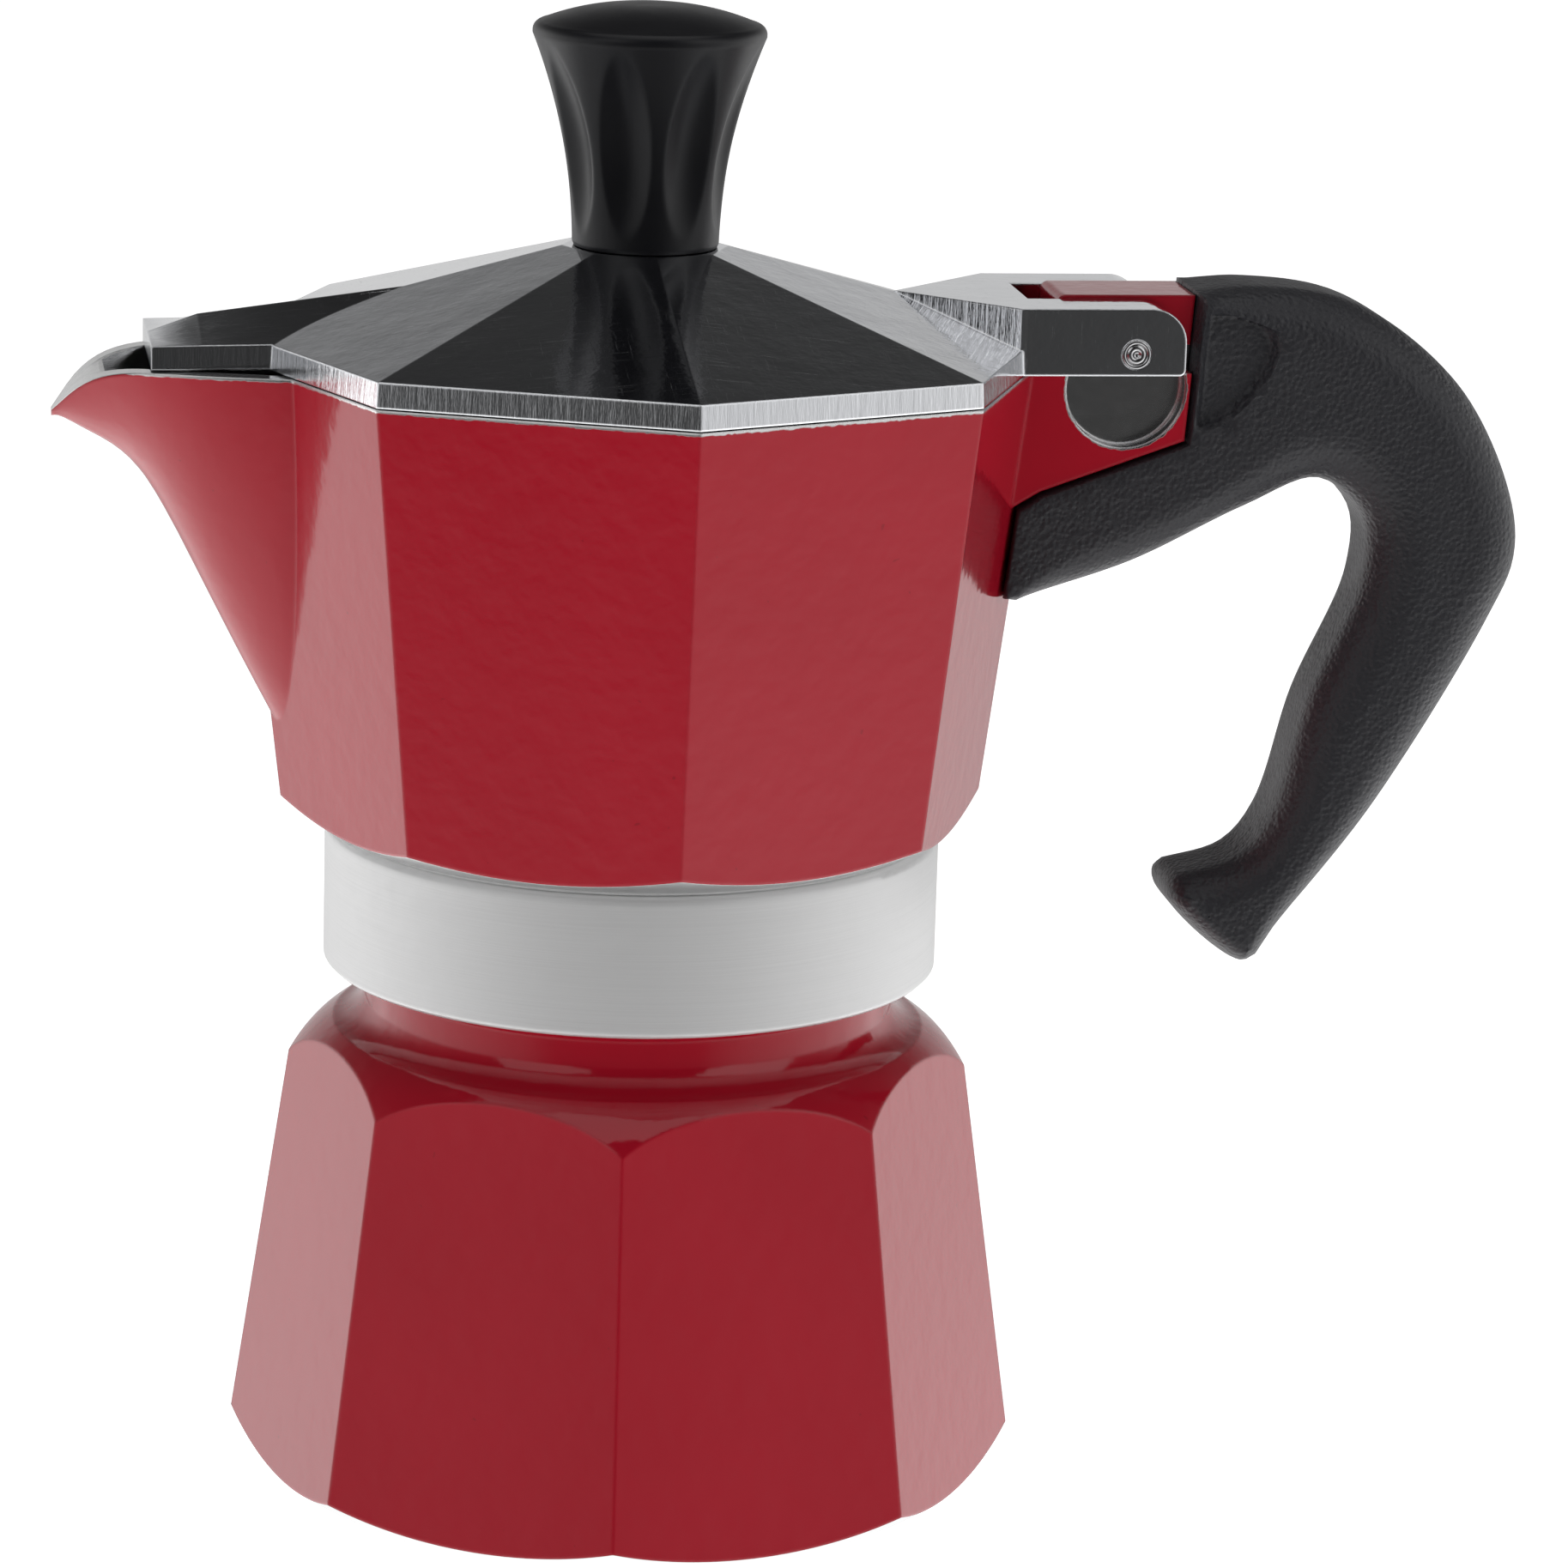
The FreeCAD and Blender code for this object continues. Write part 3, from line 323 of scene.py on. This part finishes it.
def moulded_material(name, dark, light, gloss, grain_scale, grain_height, fine_height, ior):
    """Moulded plastic: a pebbled grain with a finer one on top, and a faint bloom."""
    material, tree, shader, place, normal = new_material(name)
    cells = node(tree, "TexVoronoi", {"Vector": place, "Scale": grain_scale, "Randomness": 1.0},
                 feature="SMOOTH_F1").outputs["Distance"]
    fine = noise(tree, place, grain_scale * 3, detail=3.0)
    clouds = noise(tree, place, 0.08, detail=4.0)
    bloom = noise(tree, place, 0.5, detail=4.0)
    grain = bump(tree, cells, grain_height, 0.7)
    feed(
        tree, shader, Normal=bump(tree, fine, fine_height, 0.6, after=grain), IOR=ior,
        Base_Color=blend_colours(tree, clouds, dark, light),
        Roughness=blend_numbers(tree, bloom, gloss[0], gloss[1]))
    return material


def soft_material(name, dark, light, gloss, scale):
    material, tree, shader, place, normal = new_material(name)
    mottle = noise(tree, place, scale, detail=4.0)
    feed(
        tree, shader, Normal=bump(tree, mottle, 0.00005, 0.5),
        Base_Color=blend_colours(tree, mottle, dark, light),
        Roughness=blend_numbers(tree, mottle, gloss[0], gloss[1]))
    return material


def paint(material, *pieces):
    for piece in pieces:
        piece.data.materials.clear()
        piece.data.materials.append(material)


# ---------------------------------------------------------------- meshes

def finish_mesh(bm, name, sharp_angle=32.0):
    mesh = bpy.data.meshes.new(name)
    bmesh.ops.recalc_face_normals(bm, faces=bm.faces)
    bm.to_mesh(mesh)
    bm.free()
    mesh.shade_smooth()
    mesh.set_sharp_from_angle(angle=math.radians(sharp_angle))
    piece = bpy.data.objects.new(name, mesh)
    bpy.context.scene.collection.objects.link(piece)
    return piece


def arc_through(first, middle, last, count):
    """Points on the circle through three points, from the first to the last."""
    (ax, ay), (bx, by), (cx, cy) = first, middle, last
    d = 2 * (ax * (by - cy) + bx * (cy - ay) + cx * (ay - by))
    ux = ((ax**2 + ay**2) * (by - cy) + (bx**2 + by**2) * (cy - ay) + (cx**2 + cy**2) * (ay - by)) / d
    uy = ((ax**2 + ay**2) * (cx - bx) + (bx**2 + by**2) * (ax - cx) + (cx**2 + cy**2) * (bx - ax)) / d
    radius = math.hypot(ax - ux, ay - uy)
    start = math.atan2(ay - uy, ax - ux)
    stop = math.atan2(cy - uy, cx - ux)
    via = math.atan2(by - uy, bx - ux)
    turn = (stop - start) % math.tau
    if (via - start) % math.tau > turn:
        turn -= math.tau
    angles = [start + turn * i / count for i in range(count + 1)]
    return [(ux + radius * math.cos(angle), uy + radius * math.sin(angle)) for angle in angles]


def smooth_curve(points, spacing):
    """A Catmull-Rom curve through the points, with points about one spacing apart."""
    result = []
    for index in range(len(points) - 1):
        p1, p2 = Vector(points[index]), Vector(points[index + 1])
        p0 = Vector(points[index - 1]) if index else p1 * 2 - p2
        p3 = Vector(points[index + 2]) if index + 2 < len(points) else p2 * 2 - p1
        count = max(2, round((p2 - p1).length / spacing))
        k0 = 0.0
        k1 = k0 + (p1 - p0).length ** 0.5
        k2 = k1 + (p2 - p1).length ** 0.5
        k3 = k2 + (p3 - p2).length ** 0.5
        for step in range(count):
            t = k1 + (k2 - k1) * step / count
            a1 = p0 * ((k1 - t) / (k1 - k0)) + p1 * ((t - k0) / (k1 - k0))
            a2 = p1 * ((k2 - t) / (k2 - k1)) + p2 * ((t - k1) / (k2 - k1))
            a3 = p2 * ((k3 - t) / (k3 - k2)) + p3 * ((t - k2) / (k3 - k2))
            b1 = a1 * ((k2 - t) / (k2 - k0)) + a2 * ((t - k0) / (k2 - k0))
            b2 = a2 * ((k3 - t) / (k3 - k1)) + a3 * ((t - k1) / (k3 - k1))
            result.append(b1 * ((k2 - t) / (k2 - k1)) + b2 * ((t - k1) / (k2 - k1)))
    result.append(Vector(points[-1]))
    return result


# ---------------------------------------------------------------- knob

FLUTES = 8
FLUTE_DEPTH = 1.05
FLUTE_CUTTER = 2.5
FLUTE_MIDDLE = 121.6
FLUTE_HALF_LENGTH = 8.1
KNOB_BASE = 6.38
KNOB_BORE = 2.6
KNOB_BORE_TOP = 121.0


def knob_profile():
    """Radius and height of the knob from its base, up the flare and over the crown, in mm."""
    low, high = [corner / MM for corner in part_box("knob")]
    wide = high.x
    profile = [(KNOB_BASE - 0.35, low.z), (KNOB_BASE - 0.12, low.z + 0.08), (KNOB_BASE, low.z + 0.35)]
    flare = (KNOB_BASE + 0.02, low.z + 0.5), (7.55, low.z + 10.0), (wide, high.z - 2.65)
    edge = (wide, high.z - 2.55), (wide - 0.16, high.z - 1.95), (wide - 0.75, high.z - 1.6)
    crown = (wide - 1.0, high.z - 1.5), (5.4, high.z - 0.42), (0.9, high.z - 0.01)
    return profile + arc_through(*flare, 56) + arc_through(*edge, 7) + arc_through(*crown, 16)


def make_knob():
    profile = knob_profile()
    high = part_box("knob")[1].z / MM
    around = 240
    bm = bmesh.new()
    rings = []
    for radius, height in profile:
        reach = 1 - ((height - FLUTE_MIDDLE) / FLUTE_HALF_LENGTH) ** 2
        ring = []
        for step in range(around):
            angle = math.tau * step / around
            nearest = (angle / math.tau * FLUTES) % 1.0 - 0.5
            across = radius * nearest * math.tau / FLUTES
            cut = FLUTE_DEPTH * reach - across**2 / (2 * FLUTE_CUTTER)
            soft = 0.5 * (cut + math.hypot(cut, 0.10)) if reach > -0.2 else 0.0
            here = radius - soft
            ring.append(bm.verts.new(Vector((here * math.cos(angle), here * math.sin(angle), height)) * MM))
        rings.append(ring)
    for lower, upper in zip(rings, rings[1:]):
        for step in range(around):
            following = (step + 1) % around
            bm.faces.new((lower[step], lower[following], upper[following], upper[step]))
    top = bm.verts.new(Vector((0, 0, high)) * MM)
    for step in range(around):
        bm.faces.new((rings[-1][step], rings[-1][(step + 1) % around], top))
    bore_low = bore_ring(bm, around, KNOB_BORE, profile[0][1])
    bore_high = bore_ring(bm, around, KNOB_BORE, KNOB_BORE_TOP)
    for step in range(around):
        following = (step + 1) % around
        bm.faces.new((bore_low[step], bore_low[following], rings[0][following], rings[0][step]))
        bm.faces.new((bore_high[step], bore_high[following], bore_low[following], bore_low[step]))
    bm.faces.new(list(reversed(bore_high)))
    piece = finish_mesh(bm, "fluted_knob")
    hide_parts("knob")
    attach(piece, "lid")
    return piece


def bore_ring(bm, around, radius, height):
    angles = [math.tau * i / around for i in range(around)]
    return [bm.verts.new(Vector((radius * math.cos(a), radius * math.sin(a), height)) * MM) for a in angles]


# ---------------------------------------------------------------- handle

HANDLE_OUTER = [
    (48.35, 108.75), (54.0, 109.15), (62.9, 107.65), (72.7, 100.4), (78.0, 90.6), (78.72, 84.8),
    (76.6, 79.2), (67.2, 62.6), (57.6, 50.0)]
HANDLE_TAIL = [(56.6, 48.25), (55.0, 47.7), (48.5, 53.2), (48.35, 54.7), (49.2, 55.6)]
HANDLE_INNER = [
    (49.2, 55.6), (54.6, 57.2), (57.3, 60.6), (60.3, 71.4), (64.8, 82.6), (64.6, 88.4),
    (60.4, 91.9), (53.6, 89.4), (43.4, 84.4), (33.0, 81.1)]
HANDLE_FRONT = [
    (33.0, 81.1), (31.8, 81.4), (31.2, 82.4), (31.2, 89.0), (34.6, 91.15), (47.45, 95.65), (48.35, 108.75)]
SIDE_ROUNDING = 4.0
OUTER_ROUNDING = 4.4
INNER_ROUNDING = 5.4
TAIL_ROUNDING = 1.8
FRONT_ROUNDING = 0.5
END_ROUNDING = 0.9
LUG_ROUNDING = 1.2
ARM_ROUNDING = 1.6
LUG_BLEND = 0.32
LUG_LEVEL = 93.0
COLLECTOR_RADIUS = 36.04
COLLECTOR_TAPER = 0.1211
RIM_HEIGHT = 102.1
WALL_GAP = 0.12
NEAR_WALL = 36.5
FAR_ALONG = 14.0
WIDTH_SHARE = 0.43
SMOOTHING_PASSES = 8
RECESS = [
    (48.75, 107.4), (52.0, 107.3), (54.6, 106.2), (55.5, 104.2), (54.7, 101.6), (52.8, 99.1), (50.4, 97.2),
    (48.1, 96.6)]
RECESS_DEPTH = 1.1
RECESS_SLOPE = 0.7
RECESS_GRID = 0.32
SIDE_GRID = 1.2


def handle_loop():
    """The handle's side outline as points in mm, each with how far its long edge is rounded."""
    loop = []
    stretches = (
        (HANDLE_OUTER, OUTER_ROUNDING, 1.0), (HANDLE_TAIL, TAIL_ROUNDING, 0.6),
        (HANDLE_INNER, INNER_ROUNDING, 1.0), (HANDLE_FRONT, FRONT_ROUNDING, 0.8))
    for points, rounding, spacing in stretches:
        if points is not HANDLE_FRONT:
            curve = smooth_curve([(*point, 0) for point in points], spacing)
        else:
            curve = []
            for first, last in zip(points, points[1:]):
                count = max(2, round(math.dist(first, last) / spacing))
                curve += [Vector((*first, 0)).lerp(Vector((*last, 0)), i / count) for i in range(count)]
            curve.append(Vector((*points[-1], 0)))
        loop += [(point.xy, min(rounding, rounding_by_the_lug(point.xy))) for point in curve[:-1]]
    points = [point for point, rounding in loop]
    roundings = limit_to_width(points, [rounding for point, rounding in loop])
    for repeat in range(SMOOTHING_PASSES):
        neighbours = zip(roundings[-1:] + roundings, roundings, roundings[1:] + roundings[:1])
        roundings = [(before + 2 * here + after) / 4 for before, here, after in neighbours]
    return points, roundings


def rounding_by_the_lug(point):
    """The long edges are crisper where the handle meets the collector."""
    top = LUG_ROUNDING + LUG_BLEND * max(0.0, point.x - HANDLE_OUTER[0][0])
    arm = ARM_ROUNDING + LUG_BLEND * max(0.0, point.x - HANDLE_INNER[-1][0])
    return top if point.y > LUG_LEVEL else arm


def limit_to_width(points, roundings):
    """Keep the rounding under half of the local thickness."""
    places = [0.0]
    for first, second in zip(points, points[1:] + points[:1]):
        places.append(places[-1] + (second - first).length)
    around = places.pop()
    result = []
    for point, place, rounding in zip(points, places, roundings):
        across = [(point - other).length for other, there in zip(points, places)
                  if min(abs(place - there), around - abs(place - there)) > FAR_ALONG]
        result.append(min(rounding, WIDTH_SHARE * min(across)))
    return result


def inward_normals(points):
    """Unit normals to the left or right of a closed loop, whichever points inside."""
    area = sum(p.cross(q) for p, q in zip(points, points[1:] + points[:1]))
    side = 1 if area > 0 else -1
    normals = []
    for index, point in enumerate(points):
        before = (point - points[index - 1]).normalized()
        after = (points[(index + 1) % len(points)] - point).normalized()
        along = before + after
        normals.append(Vector((-along.y, along.x)).normalized() * side)
    return normals


def wall_limit(y, z):
    """How close to the axis the handle may come at the collector's corner."""
    corner = COLLECTOR_RADIUS + WALL_GAP - COLLECTOR_TAPER * (RIM_HEIGHT - z)
    return corner - abs(y) * math.tan(math.pi / 8)


def make_handle():
    points, roundings = handle_loop()
    normals = inward_normals(points)
    half_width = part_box("handle")[1].y / MM
    steps = 12
    bm = bmesh.new()

    def ring_at(turn, side):
        """One outline round the handle; turn is 0 on the flat side and 90 degrees at mid thickness."""
        ring = []
        depth = SIDE_ROUNDING * (1 - math.cos(turn))
        for point, rounding, normal in zip(points, roundings, normals):
            spot = point + normal * rounding * (1 - math.sin(turn))
            y = side * (half_width - depth)
            end = wall_limit(y, spot.y) + END_ROUNDING * (1 - math.sin(turn))
            x = max(spot.x, end) if spot.x < NEAR_WALL else spot.x
            ring.append(bm.verts.new(Vector((x, y, spot.y)) * MM))
        return ring

    quarter = [math.pi / 2 * step / steps for step in range(steps + 1)]
    rings = [ring_at(turn, -1) for turn in quarter] + [ring_at(turn, 1) for turn in reversed(quarter)]
    count = len(points)
    for first, second in zip(rings, rings[1:]):
        for index in range(count):
            following = (index + 1) % count
            bm.faces.new((first[index], first[following], second[following], second[index]))
    fill_side(bm, rings[0], -1, half_width)
    fill_side(bm, rings[-1], 1, half_width)
    piece = finish_mesh(bm, "grained_handle", 40.0)
    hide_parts("handle")
    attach(piece, "collector")
    return piece


def is_inside(point, loop):
    inside = False
    for first, second in zip(loop, loop[1:] + loop[:1]):
        if (first.y > point.y) != (second.y > point.y):
            crossing = first.x + (point.y - first.y) / (second.y - first.y) * (second.x - first.x)
            if point.x < crossing:
                inside = not inside
    return inside


def distance_to(point, loop):
    nearest = []
    for first, second in zip(loop, loop[1:] + loop[:1]):
        along = second - first
        share = max(0.0, min(1.0, (point - first).dot(along) / along.length_squared))
        nearest.append((point - first - along * share).length)
    return min(nearest)


def grid_inside(loop, spacing, margin):
    """Points of a staggered grid that lie inside a loop and off its edge."""
    low_x, high_x = min(p.x for p in loop), max(p.x for p in loop)
    low_y, high_y = min(p.y for p in loop), max(p.y for p in loop)
    result = []
    for row in range(int((high_y - low_y) / spacing) + 1):
        for column in range(int((high_x - low_x) / spacing) + 1):
            shift = 0.5 * (row % 2)
            spot = Vector((low_x + (column + shift) * spacing, low_y + row * spacing))
            if is_inside(spot, loop) and distance_to(spot, loop) > margin:
                result.append(spot)
    return result


def fill_side(bm, ring, side, half_width):
    """Close one flat side with an even mesh, sunk over the moulded recess beside the lug."""
    edge = [Vector((vertex.co.x, vertex.co.z)) / MM for vertex in ring]
    lip = [point.xy for point in smooth_curve([(*point, 0) for point in RECESS], 0.5)]
    wide_spots = [spot for spot in grid_inside(edge, SIDE_GRID, 0.5) if not is_inside(spot, lip)]
    wide_spots = [spot for spot in wide_spots if distance_to(spot, lip) > SIDE_GRID / 2]
    spots = edge + wide_spots + lip + grid_inside(lip, RECESS_GRID, 0.1)
    outline = list(range(len(edge)))
    found = delaunay_2d_cdt(spots, [], [outline], 1, 1e-5)
    vertices = []
    for place, originals in zip(found[0], found[3]):
        on_edge = [index for index in originals if index < len(edge)]
        if on_edge:
            vertices.append(ring[on_edge[0]])
            continue
        depth = 0.0
        if is_inside(place, lip):
            share = min(1.0, distance_to(place, lip) / RECESS_SLOPE)
            depth = RECESS_DEPTH * share * share * (3 - 2 * share)
        vertices.append(bm.verts.new(Vector((place.x, side * (half_width - depth), place.y)) * MM))
    for face in found[2]:
        corners = [vertices[index] for index in face]
        if len(set(corners)) == len(corners):
            bm.faces.new(corners)


# ---------------------------------------------------------------- hinge pin

PIN_HEAD = [(0.0, 0.34), (0.16, 0.32), (0.32, 0.16), (0.42, 0.05), (0.58, 0.02), (0.74, 0.05), (0.82, 0.16),
            (0.90, 0.18), (0.98, 0.06), (1.08, 0.03), (1.19, 0.04), (1.25, 0.10)]


def make_pin():
    """The peened pin: a dimple, a raised ring and a turned groove on each end, as (radius, depth) in mm."""
    low, high = [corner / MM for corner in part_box("hinge_pin")]
    middle = (low + high) / 2
    around = 64
    profile = [(radius, low.y + depth) for radius, depth in PIN_HEAD]
    profile += [(radius, high.y - depth) for radius, depth in reversed(PIN_HEAD)]
    bm = bmesh.new()
    rings = []
    for radius, y in profile:
        if radius == 0.0:
            rings.append([bm.verts.new(Vector((middle.x, y, middle.z)) * MM)])
            continue
        rings.append([bm.verts.new(Vector((middle.x + radius * math.cos(math.tau * i / around), y,
                                           middle.z + radius * math.sin(math.tau * i / around))) * MM)
                      for i in range(around)])
    for first, second in zip(rings, rings[1:]):
        for index in range(around):
            corners = [first[index % len(first)], first[(index + 1) % len(first)],
                       second[(index + 1) % len(second)], second[index % len(second)]]
            bm.faces.new(list(dict.fromkeys(corners)))
    piece = finish_mesh(bm, "peened_pin", 50.0)
    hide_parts("hinge_pin")
    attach(piece, "lid")
    return piece


# ---------------------------------------------------------------- valve spring

WIRE_RADIUS = 0.28
SPRING_TURNS = 4


def make_spring():
    """The valve's coil spring, built at one fixed length; the real spring shortens as the plunger is pushed
    out.
    """
    low, high = [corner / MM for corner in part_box("valve_spring")]
    joints = frame["record"]["behaviour"]["joints"]
    release = [joint for joint in joints if joint["name"] == "valve_release"][0]
    axis = Vector(release["axis"]).normalized()
    up = Vector((0, 0, 1))
    across = up.cross(axis)
    middle = (low + high) / 2
    outer = (high.z - low.z) / 2
    length = (high.y - low.y - 2 * outer * abs(axis.x)) / abs(axis.y)
    coil = outer - WIRE_RADIUS
    rise = length - 2 * WIRE_RADIUS
    steps, sides = 40 * SPRING_TURNS, 12
    bm = bmesh.new()
    rings = []
    for step in range(steps + 1):
        angle = math.tau * SPRING_TURNS * step / steps
        outward = across * math.cos(angle) + up * math.sin(angle)
        centre = middle + axis * rise * (step / steps - 0.5) + outward * coil
        turns = [math.tau * side / sides for side in range(sides)]
        rings.append([bm.verts.new((centre + (outward * math.cos(t) + axis * math.sin(t)) * WIRE_RADIUS) * MM)
                      for t in turns])
    for first, second in zip(rings, rings[1:]):
        for side in range(sides):
            following = (side + 1) % sides
            bm.faces.new((first[side], first[following], second[following], second[side]))
    bm.faces.new(rings[0])
    bm.faces.new(rings[-1])
    piece = finish_mesh(bm, "coil_spring", 50.0)
    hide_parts("valve_spring")
    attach(piece, "boiler")
    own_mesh(piece)
    return piece


# ---------------------------------------------------------------- dress the pieces

boiler_paint = casting_material("red_enamel_boiler", boiler_bare)
collector_paint = casting_material("red_enamel_collector", collector_bare)
polished = polished_material("polished_aluminium")
drawn = metal_material("drawn_aluminium", (0.58, 0.58, 0.58, 1), (0.80, 0.80, 0.80, 1), 0.24, 0.40)
brass = metal_material("turned_brass", (0.48, 0.31, 0.10, 1), (0.78, 0.60, 0.27, 1), 0.18, 0.32)
steel = metal_material(
    "bright_steel", (0.38, 0.38, 0.39, 1), (0.66, 0.66, 0.67, 1), 0.14, 0.28, stretch=(2.0, 0.3, 2.0))
knob_plastic = moulded_material(
    "black_knob_plastic", (0.004, 0.004, 0.006, 1), (0.007, 0.007, 0.009, 1), gloss=(0.34, 0.46),
    grain_scale=2.2, grain_height=0.000004, fine_height=0.000004, ior=1.37)
handle_plastic = moulded_material(
    "black_handle_plastic", (0.016, 0.016, 0.020, 1), (0.023, 0.023, 0.028, 1), gloss=(0.40, 0.54),
    grain_scale=2.4, grain_height=0.00016, fine_height=0.00006, ior=1.50)
rubber = soft_material("seal_rubber", (0.60, 0.58, 0.50, 1), (0.74, 0.72, 0.66, 1), (0.5, 0.7), 0.8)
fibre = soft_material("fibre_washer", (0.16, 0.03, 0.02, 1), (0.28, 0.07, 0.04, 1), (0.7, 0.9), 2.5)

paint(boiler_paint, nodes["boiler"])
paint(collector_paint, nodes["collector"])
paint(polished, nodes["lid"])
paint(drawn, nodes["funnel"], nodes["funnel_plate"], nodes["filter_plate"], nodes["riser_column"])
paint(brass, nodes["valve_body"], nodes["valve_retainer"], nodes["knob_insert"])
paint(steel, nodes["valve_plunger"], nodes["knob_washer"], nodes["knob_screw"], nodes["handle_screw"])
paint(steel, make_pin(), make_spring())
paint(rubber, nodes["gasket"])
paint(fibre, nodes["valve_washer"])
paint(knob_plastic, make_knob())
paint(handle_plastic, make_handle())


# ---------------------------------------------------------------- stage, light and camera

FLOOR_GLOW = 0.90


def make_floor():
    bm = bmesh.new()
    bmesh.ops.create_circle(bm, cap_ends=True, segments=96, radius=6.0)
    mesh = bpy.data.meshes.new("floor")
    bm.to_mesh(mesh)
    bm.free()
    floor = bpy.data.objects.new("floor", mesh)
    bpy.context.scene.collection.objects.link(floor)
    material, tree, shader, place, normal = new_material("pale_floor")
    feed(tree, shader, Base_Color=(0.86, 0.86, 0.86, 1), Roughness=0.75, Emission_Color=(1, 1, 1, 1),
         Emission_Strength=FLOOR_GLOW)
    floor.data.materials.append(material)
    floor.visible_glossy = False


def area_light(name, place, aim, size, watts):
    data = bpy.data.lights.new(name, "AREA")
    data.shape = "RECTANGLE"
    data.size, data.size_y = size
    data.energy = watts
    lamp = bpy.data.objects.new(name, data)
    lamp.location = place
    lamp.rotation_euler = (Vector(aim) - Vector(place)).to_track_quat("-Z", "Y").to_euler()
    bpy.context.scene.collection.objects.link(lamp)


def colour_ramp(tree, value, stops):
    """A smooth grey scale: each stop is a place from 0 to 1 and a level."""
    ramp = node(tree, "ValToRGB", {"Fac": value})
    elements = ramp.color_ramp.elements
    elements.remove(elements[1])
    elements[0].position = stops[0][0]
    elements[0].color = (*[stops[0][1]] * 3, 1)
    for position, level in stops[1:]:
        elements.new(position).color = (level, level, level, 1)
    return ramp.outputs["Color"]


def studio_world():
    """Light low down behind and beside the pot, dark above and in front. Seen directly, it is plain white."""
    world = bpy.data.worlds.new("studio")
    bpy.context.scene.world = world
    world.use_nodes = True
    tree = world.node_tree
    tree.nodes.clear()
    direction = node(tree, "TexCoord").outputs["Generated"]
    x, y, z = parts_of(tree, direction)
    height = colour_ramp(tree, z, [
        (0.0, 1.0), (0.20, 0.88), (0.33, 0.42), (0.45, 0.16), (0.60, 0.06), (0.70, 0.042), (0.85, 0.03)])
    flat = node(tree, "VectorMath", {0: direction, 1: (1, 1, 0)}, operation="MULTIPLY").outputs[0]
    flat = node(tree, "VectorMath", {0: flat}, operation="NORMALIZE").outputs[0]
    towards = (math.sin(CAMERA_AZIMUTH), -math.cos(CAMERA_AZIMUTH), 0)
    facing = node(tree, "VectorMath", {0: flat, 1: towards}, operation="DOT_PRODUCT").outputs["Value"]
    turn = node(tree, "MapRange", {"Value": facing, "From Min": -1.0, "From Max": 1.0}).outputs["Result"]
    around = colour_ramp(tree, turn, [
        (0.0, 0.38), (0.07, 0.44), (0.15, 0.90), (0.30, 0.90), (0.55, 0.66), (0.72, 0.44), (0.84, 0.27),
        (0.93, 0.045), (1.0, 0.02)])
    downwards = {"From Min": -0.36, "From Max": -0.62, "To Min": 0.0, "To Max": 0.5}
    steep = node(tree, "MapRange", {"Value": z, **downwards})
    level = calc(tree, "MULTIPLY", calc(tree, "ADD", around, steep.outputs["Result"]), WORLD_LEVEL)
    lit = node(tree, "Background", {"Color": height, "Strength": level})
    plain = node(tree, "Background", {"Color": (1, 1, 1, 1), "Strength": 1.0})
    seen = node(tree, "LightPath").outputs["Is Camera Ray"]
    shade = node(tree, "MixShader", {0: seen, 1: lit.outputs[0], 2: plain.outputs[0]})
    output = node(tree, "OutputWorld")
    tree.links.new(shade.outputs[0], output.inputs["Surface"])


WORLD_LEVEL = 1.7
CAMERA_DISTANCE = 0.50591
CAMERA_HEIGHT = 0.18938
CAMERA_AZIMUTH = math.radians(-7.707)
CAMERA_PITCH = math.radians(13.91)
CAMERA_YAW = math.radians(1.52)
CAMERA_ROLL = math.radians(-1.668)
CAMERA_LENS = 134.58


def make_camera():
    data = bpy.data.cameras.new("camera")
    data.sensor_width = 36.0
    data.lens = CAMERA_LENS
    data.clip_start = 0.05
    data.clip_end = 50.0
    camera = bpy.data.objects.new("camera", data)
    up = Vector((0, 0, 1))
    sine, cosine = math.sin(CAMERA_AZIMUTH), math.cos(CAMERA_AZIMUTH)
    yaw = Matrix.Rotation(-CAMERA_YAW, 3, up)
    ahead = yaw @ Vector((-sine, cosine, 0))
    right = yaw @ Vector((cosine, sine, 0))
    tilt = Matrix.Rotation(-CAMERA_PITCH, 3, right)
    ahead, up = tilt @ ahead, tilt @ up
    roll = Matrix.Rotation(CAMERA_ROLL, 3, ahead)
    right, up = roll @ right, roll @ up
    camera.matrix_world = Matrix((right, up, -ahead)).transposed().to_4x4()
    camera.location = (CAMERA_DISTANCE * sine, -CAMERA_DISTANCE * cosine, CAMERA_HEIGHT)
    bpy.context.scene.collection.objects.link(camera)
    bpy.context.scene.camera = camera


make_floor()
studio_world()
area_light("top_softbox", (0.0, -0.05, 1.0), (0, 0, 0), (1.0, 0.9), 2.6)
area_light("front_left_softbox", (-0.85, -0.75, 0.75), (0, 0, 0.06), (0.8, 0.8), 1.7)
area_light("front_right_softbox", (0.85, -0.65, 0.75), (0, 0, 0.06), (0.8, 0.8), 2.2)
make_camera()
bpy.context.scene.view_settings.view_transform = "Standard"
